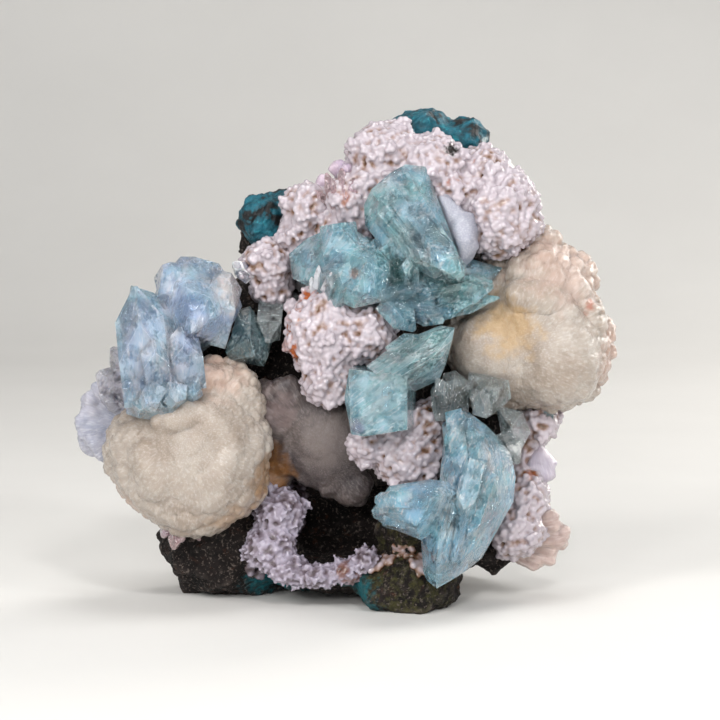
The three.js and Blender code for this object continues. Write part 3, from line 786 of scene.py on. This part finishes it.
# Crystals grown side by side from one line to another: root and tip of the middle one, half the width
# of the row, how far the tips spread, count, widths, turn, share sunk, seed.
def bundle(root, tip, half, splay, count, widths, turn, sunk, seed):
    chance = random.Random(seed)
    ranges = bundleRanges
    root = Vector(root)
    along = Vector(tip) - root
    side = Vector((-along.y, along.x)).normalized()
    crystals = []
    for number in range(count):
        share = (number + chance.uniform(*ranges["place"])) / count * 2 - 1
        begin = root + side * share * half + along * chance.uniform(*ranges["begin"])
        end = begin + along * chance.uniform(*ranges["end"]) + side * share * splay
        wide = chance.uniform(*widths)
        turned = turn + chance.uniform(*ranges["turn"])
        point = chance.uniform(*ranges["point"])
        flat = chance.uniform(*ranges["flat"])
        crystals.append((tuple(begin), tuple(end), wide, point, turned, flat, -wide * sunk))
    return crystals


# Basalt and its green-skinned knobs. Swells: grain, height, detail. Plates: grain, height.
basalt = {
    "voxel": 0.75, "smoothing": 1,
    "weather": {
        "swells": [(7.0, 1.3, 3.0), (1.6, 0.6, 5.0)], "plates": [(5.0, 1.8), (2.2, 0.7)], "shrink": 0.3,
    },
}
rock = castOf("basalt_matrix", "basalt")
remesh(rock, basalt["voxel"], basalt["smoothing"])
weather(rock, basalt["weather"])
settle(rock)
keptInside(rock)
finished(rock, "basalt_matrix", basaltMaterial())

knobs = {
    "voxel": 0.42, "smoothing": 1,
    "weather": {"swells": [(3.0, 0.8, 3.0), (0.9, 0.35, 5.0)], "plates": [(2.8, 1.0)], "shrink": 0.3},
}
greenSkin = celadoniteMaterial()
for nodeName in ("celadonite_cap", "celadonite_knob"):
    knob = castOf(nodeName, nodeName + "_skin")
    remesh(knob, knobs["voxel"], knobs["smoothing"])
    weather(knob, knobs["weather"])
    settle(knob)
    finished(knob, nodeName, greenSkin)
print("rock ready")

# Chalcedony: beads of many sizes over a lumpy pad, fused into one crust
crust = {
    "base": 0.8, "baseSmoothing": 2, "voxel": 0.3, "smoothing": 1, "swell": 1.05,
    "hills": {"swells": [(5.0, 0.9, 2.0)], "shrink": 0.05},
    "beads": {"spacing": 1.65, "lean": 0.35, "sizes": (1.0, 1.4), "sink": (0.05, 0.5), "density": 12.0},
    "smallBeads": {
        "spacing": 1.0, "lean": 0.35, "sizes": (0.5, 0.8), "sink": (-0.25, 0.15), "density": 10.0},
    "points": {"spacing": 6.0, "lean": 0.6, "sizes": (0.7, 1.2), "sink": (-0.8, -0.2), "density": 0.06},
    "point": {"size": (0.9, 0.8, 1.5), "point": 0.35, "flat": 0.1, "below": 0.5},
}
lining = {
    **crust,
    "beads": {**crust["beads"], "spacing": 0.95, "sizes": (0.5, 0.8), "sink": (-0.3, 0.2)},
    "smallBeads": {**crust["smallBeads"], "spacing": 0.8, "sizes": (0.3, 0.45), "sink": (-0.5, 0.0)},
}
bead = beadForm()
spike = spikeForm(crust["point"])
crustFinish = chalcedonyMaterial("chalcedony_crust", crustLook)
liningFinish = chalcedonyMaterial("chalcedony_lining", liningLook)
for seed, place in enumerate(["crown", "arm", "left_patch", "middle", "lower", "right", "hollow"]):
    nodeName = "chalcedony_" + place
    plan = lining if place == "hollow" else crust
    piece = castOf(nodeName, place + "_crust")
    remesh(piece, plan["base"], plan["baseSmoothing"])
    weather(piece, plan["hills"])
    settle(piece)
    under = linked("under", piece.data.copy())
    scatter(piece, spike, plan["points"], seed * 10 + 5)
    scatter(piece, bead, plan["beads"], seed * 10)
    scatter(piece, bead, plan["smallBeads"], seed * 10 + 3)
    remesh(piece, plan["voxel"], plan["smoothing"])
    settle(piece)
    markSwell(piece, under, plan["swell"])
    bpy.data.objects.remove(under)
    finished(piece, nodeName, liningFinish if place == "hollow" else crustFinish)
for form in (bead, spike):
    bpy.data.objects.remove(form)

# The sugary wall of the hollow, and the thin crust arched over the foot
patchBeads = {"proud": (-0.6, 0.5), "swell": 1.2}
patches = [
    ("hollow_wall", liningFinish, {
        "patches": [(-14.5, 21, 5.5), (-17, 15, 4.5), (-12, 25.5, 4), (-19.5, 10, 2.5)],
        "density": 2.2, "sizes": (0.4, 0.9), "seed": 71}),
    ("foot_crust", crustFinish, {
        "patches": [
            (9.5, 11.5, 1.5), (11.5, 13.6, 1.5), (14, 13.4, 1.5), (16, 11.4, 1.4), (17, 9, 1.2),
            (6.5, 10.5, 1.6)],
        "density": 2.4, "sizes": (0.4, 0.95), "seed": 72}),
]
rockSkin = skinOf("basalt_matrix")
for name, finish, plan in patches:
    piece = crustPatch(name, rockSkin, {**patchBeads, **plan})
    remesh(piece, crust["voxel"], crust["smoothing"])
    settle(piece)
    markSwell(piece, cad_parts["basalt_matrix"], patchBeads["swell"])
    finished(piece, "chalcedony_hollow", finish)
print("crusts ready")

# Stilbite looks, and forms of its sheaves: round is a voxel and the smoothing after it
cream = {
    "base": "aba197", "second": "95877a", "streak": "d6cfc8", "glow": 0.6, "relief": 0.16,
    "sparkle": 1.2, "streaky": 0.5,
}
# grey: the base, second and streak colours are the centre sheaves' own grey-taupe, darkened with painted
# shade where they lie recessed; other sheaves set their own.
grey = {
    "base": "5a4f4b", "second": "3f3739", "streak": "8f8583", "glow": 0.4, "relief": 0.25,
    "sparkle": 2.2, "streaky": 0.7, "stains": [],
}
smooth = {**grey, "relief": 0.1, "sparkle": 0.2}
broad = {
    "round": (0.8, 26), "fine": 0.34, "shrink": -0.7, "frontShare": 0.12, "reach": 18, "petal": 2.1,
    "petalRise": 1.7, "comb": 0.8, "combRise": 0.7, "fibre": 0.8, "fibreRise": 0.12,
    "swells": [(6.0, 0.4, 2.0), (1.1, 0.1, 3.0)], "domes": [],
}
small = {
    **broad, "round": (0.7, 10), "frontShare": 0.1, "reach": 12, "petal": 2.2, "petalRise": 1.4,
    "combRise": 0.5,
}
thin = {**small, "round": (0.4, 5), "shrink": -0.1, "petalRise": 0.15, "fibreRise": 0.1, "combRise": 0.2}

# Node, piece, slot, heart as the eye sees it, form, look
sheaves = [
    ("stilbite_left_fan", "left_sheaf", "stilbite", (-34, 42, 0),
     {**broad, "lobes": [((-34, -18, 31), 17, 1.8)], "domes": [
         ((-26.5, 49.0, -11), (7.5, 6, 7.0), 10), ((-22.0, 45.8, -10), (4.6, 5, 4.0), 25),
         ((-46.0, 37, -12), (7, 8.5, 8.5), 15), ((-42.5, 30, -12.5), (7.5, 8.5, 7), -25),
         ((-33.5, 25.0, -12), (10, 8.5, 8), 0), ((-25.5, 29, -12.5), (8, 8.5, 8), 20),
         ((-22.5, 37, -12), (6, 8, 8), 0)]},
     {**cream, "stains": [
         ("8f6a42", (-19, -11, 29), 7, 0.75), ("8f6c46", (-25, -13, 21), 7, 0.55),
         ("c9a594", (-30, -14, 54), 10, 0.5), ("c9a594", (-46, -6, 24), 9, 0.4),
         ("8a6f44", (-28.5, -20, 40), 1.6, 0.6)]}),
    ("stilbite_right_fan", "right_sheaf", "stilbite", (36, 60, 6),
     {**broad, "lobes": [((46, -8, 70), 16, 1.6), ((50, -8, 53), 16, 1.6), ((31, -9, 53), 12, 1.6)],
      "domes": [
          ((44, 77.5, -2), (5.5, 5, 9), -12), ((49.5, 73, -2), (6, 5, 7), 20),
          ((54.6, 58, -2), (3.6, 5, 8.4), 0), ((47.0, 57, -8), (9, 8, 10.5), 0),
          ((43.5, 72, -6), (6.5, 6, 9), -12), ((31.5, 59, -7), (6, 7.5, 9), 0),
          ((29, 61, -3), (7, 5, 10), 0), ((33, 70, -3), (7, 5, 7), 0), ((33, 50, -4), (7, 5, 6), 0),
          ((35, 76.5, 0), (5, 5, 5), 0)]},
     {**cream, "stains": [
         ("c09a5c", (35.6, -8, 61), 9, 0.5), ("c4a093", (48, -4, 74), 13, 0.35),
         ("c4a093", (58, -2, 54), 9, 0.4), ("9c4418", (53.5, -6, 65), 2.2, 0.8),
         ("9c4418", (51, -5.6, 46.7), 2.2, 0.8)]}),
    ("stilbite_centre", "centre_sheaves", "stilbite_grey", (-4, 37, 4),
     {**small, "domes": [
         ((-16, 44, -5), (4.8, 4.5, 6.5), -8), ((-4.0, 38.0, -7.5), (8.0, 5.5, 10), -12),
         ((2.0, 28, -6), (4, 4, 4.5), 20), ((-13, 36, -3), (5.5, 5, 6), 0),
         ((-17, 29, -3), (4.5, 4, 4.5), 0), ((4, 49, -5), (5, 5, 5), 0)]},
     {**grey, "stains": [
         ("8a5a24", (-17, -4, 28.5), 7, 0.8), ("7b706c", (-3.6, -8, 38), 8, 0.5),
         ("8a7876", (-15, -5, 43), 6, 0.6)]}),
    ("stilbite_far_left", "far_left_sheaf", "stilbite_grey", (-44, 42, 4),
     {**small, "petalRise": 1.0},
     {**grey, "base": "a8a7b3", "second": "9498a8", "streak": "d6d6dc"}),
    ("stilbite_upper_lobe", "upper_lobe", "stilbite_grey", (20, 86, 2),
     {**thin, "round": (0.6, 22), "combRise": 0.1},
     {**smooth, "base": "9b9ca8", "second": "92939f", "streak": "c4c4cc", "relief": 0.08}),
    ("stilbite_lower_blades", "lower_blades", "stilbite_grey", (30, 16, 1),
     {**small, "round": (0.5, 9)},
     {**grey, "base": "c0aaa2", "second": "a08a84", "streak": "ddd0ca"}),
    ("stilbite_right_blade", "right_blades", "stilbite_grey", (42, 40, 0),
     {**thin, "round": (0.6, 22), "petalRise": 0.0, "combRise": 0.0},
     {**smooth, "base": "b9aeb8", "second": "a89fac", "streak": "d2cad2"}),
    ("stilbite_crest_blades", "crest_blades", "stilbite_grey", (3, 91, -2),
     thin,
     {**grey, "base": "c3b0bc", "second": "a392a6", "streak": "e0d6de"}),
]
for nodeName, pieceName, slotName, heart, form, look in sheaves:
    piece = castOf(nodeName, pieceName)
    heartPlace = fromFront(*heart)
    addDomes(piece, form["domes"])
    rounded(piece, *form["round"], form["fine"])
    weather(piece, {**form, "heart": heartPlace})
    settle(piece)
    keptInside(piece)
    finished(piece, nodeName, stilbiteMaterial(pieceName, {**look, "heart": heartPlace}))
print("sheaves ready")

# Apophyllite looks. Where a look has a cloud, a milky, coloured body lies inside the clear crystal.
aqua = {
    "tint": "98cae2", "mint": "92d0d4", "veil": "f6fbfe", "milk": 0.7, "clear": 0.8, "milky": 0.5,
    "smooth": 0.02, "rough": 0.1, "relief": 1.7, "facet": 1.0, "absorbed": "9cd8e6", "density": 26.0,
    # edge: the share of the painted highlight along the bevelled edges
    "glow": 0.45, "edge": 0.75, "thread": 0.3, "grainTurn": (0.3, 0.6, 0.0), "bevel": 0.26,
    "deep": "80b6ca", "aqua": "b8dfee", "veilShare": 0.4, "stains": [
        ("2f6f6c", (12, -15, 74), 5.5, 0.7), ("d5ecf6", (14, -20, 80), 6.0, 0.45),
        ("3c4a52", (13, -16, 89), 1.6, 0.6), ("a5643c", (2.3, -20, 74), 1.6, 0.7),
        ("a5643c", (6, -19, 87), 0.9, 0.7), ("3a7478", (22, -12, 71), 7.0, 0.65),
        ("49607c", (19, -33, 13), 4.0, 0.6), ("8a86b0", (3, -27, 42), 2.5, 0.6)],
    "cloud": {"swells": [(4.0, 1.6, 4.0)], "plates": [(2.5, 1.0)], "shrink": 1.2},
}
bowtie = {**aqua, "tint": "86b9c9", "mint": "92c2c4", "milk": 0.4, "grainTurn": (0.0, 0.95, 0.0)}
lower = {
    **aqua, "tint": "90c6e6", "mint": "88c8d8", "milk": 0.75, "thread": 0.6, "grainTurn": (0.1, 0.25, 0.0),
}
dark = {
    **aqua, "tint": "7fa5ae", "mint": "6f9da4", "veil": "b9cdd2", "deep": "2c4f58", "aqua": "557f88",
    "clear": 0.9, "milky": 0.6, "edge": 0.2,
}
pale = {
    **aqua, "tint": "bacbee", "mint": "b2d8ea", "veil": "f6f5fe", "milk": 0.8, "deep": "9cc2e0",
    "aqua": "cfe1f4", "absorbed": "a8d0ee", "density": 20.0, "grainTurn": (0.05, 0.05, 0.0),
    "stains": [
        ("efe2dc", (-23.5, -13, 70), 7.0, 0.8), ("3f5a78", (-36, -12, 77.5), 1.7, 0.8),
        ("4e7f9a", (-41, -20, 66), 1.2, 0.6), ("3f9a94", (-46.5, -19, 46), 2.6, 0.6),
        ("8fd0d6", (-44.5, -16, 66), 6.0, 0.5)],
}
glassy = {
    **aqua, "tint": "d9e6ea", "mint": "cfe2e2", "veil": "fcfdfe", "milk": 0.6, "clear": 0.95, "milky": 0.65,
    "absorbed": "c8e2e6", "density": 10.0, "glow": 0.1, "cloud": None, "relief": 2.4, "edge": 1.0,
    "bevel": 0.34,
}
lavender = {
    **glassy, "tint": "d4d6ea", "mint": "e0dcea", "clear": 0.7, "milky": 0.45, "glow": 0.3, "edge": 0.75,
    "bevel": 0.26,
}

# The smaller crystals that stand on the large ones
crystalsUpper = [
    *bundle((10, 93), (21, 78), 4.5, -1.5, 7, (3.0, 5.0), 40, -0.1, 11),
    *bundle((3, 85), (15, 71), 3.0, 0.0, 5, (3.0, 4.5), 40, 0.0, 12),
    *bundle((-6, 68), (-3, 80), 5.0, 0.5, 5, (4.5, 6.5), 25, 0.1, 13),
    *bundle((12.0, 66), (12.5, 80), 2.2, 0.0, 3, (2.6, 3.6), 35, 0.0, 14),
    *bundle((10, 67), (31, 71.5), 4.0, 1.0, 6, (3.2, 5.0), 30, 0.1, 15),
    ((15, 87), (24.6, 75.4), 5.0, 0.25, 25, 0.4, 1.2),
    ((9, 69.5), (15.5, 62.5), 4.6, 0.25, 30, 0.3, 0.2),
    ((13, 69), (22, 64.5), 4.4, 0.25, 40, 0.3, 0.2),
    ((20.5, 70.5), (32.8, 73.4), 4.4, 0.3, 10, 0.15, 0.0),
    ((17.5, 66.5), (28.4, 68.8), 4.0, 0.3, 30, 0.2, 0.0),
]
crystalsBowtie = [
    *bundle((8, 52.5), (21.5, 61.5), 2.8, 0.6, 5, (2.8, 4.2), 35, 0.0, 21),
    ((12, 54), (23.2, 63.0), 4.2, 0.4, 15, 0.12, 0.6),
]
crystalsLower = [
    *bundle((27, 44), (30, 24), 4.5, 0.5, 7, (2.6, 4.4), 38, 0.0, 31),
    *bundle((29, 32), (22, 7), 3.6, -1.0, 7, (2.6, 4.2), 38, 0.0, 32),
    *bundle((16, 22), (6, 23.5), 3.0, -0.6, 3, (3.6, 5.0), 20, 0.2, 33),
]
crystalsLeft = [
    ((-43.5, 47), (-46.6, 72.4), 10.5, 0.45, 42, 0.08, -1.5),
    ((-38.5, 48), (-40.8, 69.0), 8.0, 0.4, 30, 0.12, -0.4),
    ((-37.0, 54), (-36.2, 80.0), 9.5, 0.3, 40, 0.35, -2.0),
    ((-32.0, 55), (-31.2, 78.6), 9.0, 0.3, 48, 0.4, -1.6),
    ((-28.0, 56), (-26.0, 76.6), 9.0, 0.35, 38, 0.3, -2.0),
    ((-35.0, 50), (-36.4, 63.5), 7.0, 0.35, 40, 0.2, 0.4),
    ((-30.5, 52), (-29.4, 68.0), 7.5, 0.3, 35, 0.3, 0.0),
    ((-41.5, 50), (-43.0, 60.5), 5.5, 0.35, 44, 0.2, 1.0),
    ((-40.0, 47.5), (-47.6, 45.0), 6.0, 0.3, 30, 0.3, 0.2),
    ((-36.0, 49.0), (-41.0, 43.5), 5.0, 0.3, 40, 0.3, 0.4),
    ((-41.5, 50.0), (-44.5, 45.0), 5.2, 0.3, 35, 0.3, 1.6),
    ((-38.0, 50.5), (-38.6, 45.4), 4.8, 0.3, 42, 0.3, 1.8),
    ((-34.6, 51.5), (-33.6, 46.8), 4.4, 0.3, 38, 0.3, 1.4),
]
crystalsClear = [
    ((23.0, 43.5), (21.0, 51.5), 5.0, 0.4, 38, 0.25, 0.6),
    ((19.0, 44.5), (17.5, 50.0), 3.0, 0.4, 20, 0.25, 0.4),
    ((27.0, 43.5), (33.0, 51.5), 7.0, 0.3, 40, 0.5, 1.0),
    ((32.5, 43.5), (37.0, 49.0), 4.6, 0.4, 30, 0.3, 0.6),
    ((34.0, 42.5), (39.5, 38.0), 4.2, 0.4, 40, 0.3, 0.6),
    ((28.5, 46.5), (34.5, 51.0), 4.6, 0.3, 15, 0.5, 3.0),
    ((22.5, 46.0), (20.5, 52.0), 3.2, 0.4, 20, 0.3, 2.2),
    ((30.5, 44.0), (31.0, 50.0), 3.4, 0.4, 42, 0.3, 3.4),
    ((35.0, 40.0), (38.6, 33.0), 4.0, 0.35, 30, 0.3, 0.6),
    ((36.5, 38.0), (36.2, 31.0), 3.4, 0.35, 42, 0.3, 0.6),
    ((30.0, 42.5), (34.5, 37.0), 3.6, 0.4, 30, 0.3, 1.0),
]
crystalsPoints = [
    ((-47, 51), (-51.6, 57.6), 4.2, 0.35, 40, 0.2, 0.5),
    ((-46, 48), (-52.5, 52.5), 4.0, 0.35, 35, 0.2, 0.5),
    ((-48, 45), (-54.5, 48.5), 3.6, 0.35, 40, 0.3, 0.3),
]
clusters = [
    ("apophyllite_upper", "upper_crystals", "apophyllite", aqua, crystalsUpper),
    ("apophyllite_bowtie", "bowtie_crystals", "apophyllite", bowtie, crystalsBowtie),
    ("apophyllite_lower", "lower_crystals", "apophyllite", lower, crystalsLower),
    ("apophyllite_left", "left_crystals", "apophyllite_pale", pale, crystalsLeft),
    ("apophyllite_left_dark", "left_dark_crystal", "apophyllite", dark, []),
    ("apophyllite_clear", "clear_crystals", "clear_crystal", glassy, crystalsClear),
    ("clear_prism", "clear_prism_crystal", "clear_crystal", glassy, []),
    ("clear_points", "clear_point_crystals", "clear_crystal", lavender, crystalsPoints),
]
cloudMesh = {"voxel": 0.8, "smoothing": 1}
for nodeName, pieceName, slotName, look, extra in clusters:
    piece = castOf(nodeName, pieceName)
    placeCrystals(piece, skinOf(nodeName), extra)
    bevelled(piece, look["bevel"], 2)
    finished(piece, nodeName, crystalMaterial(pieceName, look))
    if look["cloud"]:
        inside = castOf(nodeName, pieceName + "_cloud")
        remesh(inside, cloudMesh["voxel"], cloudMesh["smoothing"])
        weather(inside, look["cloud"])
        settle(inside)
        finished(inside, nodeName, cloudMaterial(pieceName + "_cloud", look))
print("crystals ready")

# Small growths: white needles by the rust, two small grey crystals beside the left patch of crust,
# pink blades at the crest and under the left fan
needle = {
    **glassy, "relief": 1.7, "tint": "e8e8f0", "mint": "dfe6ee", "clear": 0.5, "milky": 0.25, "bevel": 0.05,
    "edge": 0.3,
}
pinkBlade = {**needle, "tint": "c9a3a0", "mint": "b9a0b0", "veil": "e6d6d8", "bevel": 0.1, "edge": 0.15}
growths = [
    ("white_needles", "clear_prism", "clear_crystal", needle,
     ("chalcedony_middle", "apophyllite_upper", "basalt_matrix"), [
         ((-9.5, 71.5), (-11.3, 75.8), 1.4, 0.3, 40, 0.3, 1.4),
         ((-8.0, 72.0), (-8.6, 77.2), 1.5, 0.3, 30, 0.3, 1.5),
         ((-6.2, 72.0), (-5.8, 77.0), 1.4, 0.3, 44, 0.3, 1.5),
         ((-4.8, 71.5), (-2.8, 75.6), 1.3, 0.3, 35, 0.3, 1.5),
         ((-10.8, 70.0), (-14.0, 72.8), 1.3, 0.3, 40, 0.3, 1.4),
         ((-11.5, 68.0), (-14.8, 69.4), 1.2, 0.3, 40, 0.3, 1.4),
         ((-7.2, 71.0), (-7.4, 74.4), 1.2, 0.3, 20, 0.3, 1.8),
         ((-10.2, 72.0), (-13.0, 76.0), 1.2, 0.3, 20, 0.3, 1.0)]),
    ("small_grey_crystal", "clear_prism", "clear_crystal", lavender,
     ("chalcedony_left_patch",), [
         ((-20.6, 74.5), (-25.0, 77.8), 3.4, 0.35, 40, 0.3, 0.2),
         ((-20.4, 72.5), (-24.6, 73.2), 3.0, 0.35, 30, 0.3, 0.2)]),
    ("crest_needles", "stilbite_crest_blades", "stilbite_grey", pinkBlade,
     ("stilbite_crest_blades", "chalcedony_crown"), [
         ((-1.5, 90.0), (-4.2, 97.6), 2.4, 0.3, 30, 0.4, 0.4),
         ((0.0, 91.0), (-0.8, 98.6), 2.2, 0.3, 40, 0.4, 0.4),
         ((-2.5, 89.0), (-7.2, 93.8), 2.2, 0.3, 25, 0.4, 0.4),
         ((1.0, 91.0), (2.2, 96.6), 2.0, 0.3, 40, 0.4, 0.4)]),
    ("pink_fringe", "stilbite_left_fan", "stilbite", pinkBlade,
     ("stilbite_left_fan", "basalt_matrix"), [
         ((-37.5, 19.5), (-38.0, 13.8), 2.6, 0.3, 30, 0.4, -0.4),
         ((-35.8, 19.0), (-36.4, 15.4), 1.8, 0.3, 44, 0.4, -0.4),
         ((-39.6, 19.5), (-40.4, 16.4), 2.0, 0.3, 15, 0.4, -0.4),
         ((-33.0, 18.5), (-32.2, 15.8), 1.4, 0.3, 40, 0.4, -0.4)]),
]
for name, nodeName, slotName, look, skins, crystals in growths:
    piece = linked(name, bpy.data.meshes.new(name))
    placeCrystals(piece, skinOf(*skins), crystals)
    bevelled(piece, look["bevel"], 1)
    finished(piece, nodeName, crystalMaterial(name, look))
print("growths ready")

# The stage: a pale floor that curves up behind, in metres
stageSettings = {
    "near": 1.2, "back": 0.5, "half": 1.4, "bend": 0.35, "bendSteps": 12, "rise": 1.2,
    "colour": "dcdad6", "second": "e4e2de", "grain": 60.0, "roughness": 0.7,
}


def sweepFloor(plan):
    bm = bmesh.new()
    front = [bm.verts.new((x, -plan["near"], 0)) for x in (-plan["half"], plan["half"])]
    edge = bm.edges.new(front)
    flat = bmesh.ops.extrude_edge_only(bm, edges=[edge])["geom"]
    moved = [v for v in flat if isinstance(v, bmesh.types.BMVert)]
    bmesh.ops.translate(bm, verts=moved, vec=(0, plan["near"] + plan["back"], 0))
    last = [e for e in flat if isinstance(e, bmesh.types.BMEdge)]
    bent = bmesh.ops.spin(
        bm, geom=last, cent=(0, plan["back"], plan["bend"]), axis=(1, 0, 0), angle=math.radians(90),
        steps=plan["bendSteps"])["geom_last"]
    bentEdges = [e for e in bent if isinstance(e, bmesh.types.BMEdge)]
    wall = bmesh.ops.extrude_edge_only(bm, edges=bentEdges)["geom"]
    wallTop = [v for v in wall if isinstance(v, bmesh.types.BMVert)]
    bmesh.ops.translate(bm, verts=wallTop, vec=(0, 0, plan["rise"]))
    bmesh.ops.recalc_face_normals(bm, faces=bm.faces)
    for face in bm.faces:
        face.smooth = True
    floor = linkedForm("floor", bm)
    material, tree, shader, place = newMaterial("floor_paper")
    paper = tinted(tree, plan["colour"], noise(tree, place, plan["grain"]), plan["second"])
    fill(tree, shader, {"Base Color": paper, "Roughness": plan["roughness"]})
    floor.data.materials.append(material)
    return floor


floor = sweepFloor(stageSettings)

# Soft lights, and small ones for the glints: name, place and size in metres, watts, colour
lampAim = Vector((0, 0, 0.05))
white = (1.0, 1.0, 1.0)
lamps = [
    ("key", (-0.42, -0.55, 0.5), (0.12, 0.4), 2.9, (1.0, 0.98, 0.96)),
    ("fill", (0.6, -0.6, 0.25), (0.1, 0.5), 1.6, (0.96, 0.98, 1.0)),
    ("top", (0.1, 0.0, 0.7), (0.3, 0.3), 1.7, white),
    ("rim", (0.5, 0.45, 0.3), (0.25, 0.3), 2.5, (1.0, 0.97, 0.93)),
    ("sparkHigh", (0.12, -0.6, 0.5), (0.1, 0.1), 1.6, white),
    ("sparkLeft", (-0.25, -0.7, 0.25), (0.09, 0.09), 1.1, white),
    ("sparkRight", (0.3, -0.7, 0.1), (0.07, 0.07), 0.5, white),
    ("sparkNear", (-0.05, -0.75, 0.3), (0.09, 0.09), 1.0, white),
    ("sparkLow", (-0.5, -0.5, 0.08), (0.07, 0.07), 0.4, white),
    ("sparkWide", (0.45, -0.5, 0.45), (0.08, 0.08), 0.7, white),
]
for name, place, (wide, high), power, tone in lamps:
    light = bpy.data.lights.new(name, "AREA")
    light.shape = "RECTANGLE"
    light.size = wide
    light.size_y = high
    light.energy = power
    light.color = tone
    lamp = linked(name, light)
    lamp.location = place
    lamp.rotation_euler = (lampAim - Vector(place)).to_track_quat("-Z", "Y").to_euler()

sky = {"Color": (0.8, 0.83, 0.87, 1.0), "Strength": 0.2}
world = bpy.data.worlds.new("studio")
world.use_nodes = True
fill(world.node_tree, world.node_tree.nodes["Background"], sky)
bpy.context.scene.world = world
bpy.context.scene.view_settings.view_transform = "Standard"

cameraData = bpy.data.cameras.new("camera")
cameraData.lens = eye["lens"]
cameraData.sensor_width = eye["sensor"]
camera = linked("camera", cameraData)
camera.location = eyePlace()
camera.rotation_euler = (eye["look"] - eyePlace()).to_track_quat("-Z", "Y").to_euler()
bpy.context.scene.camera = camera
print("stage set")
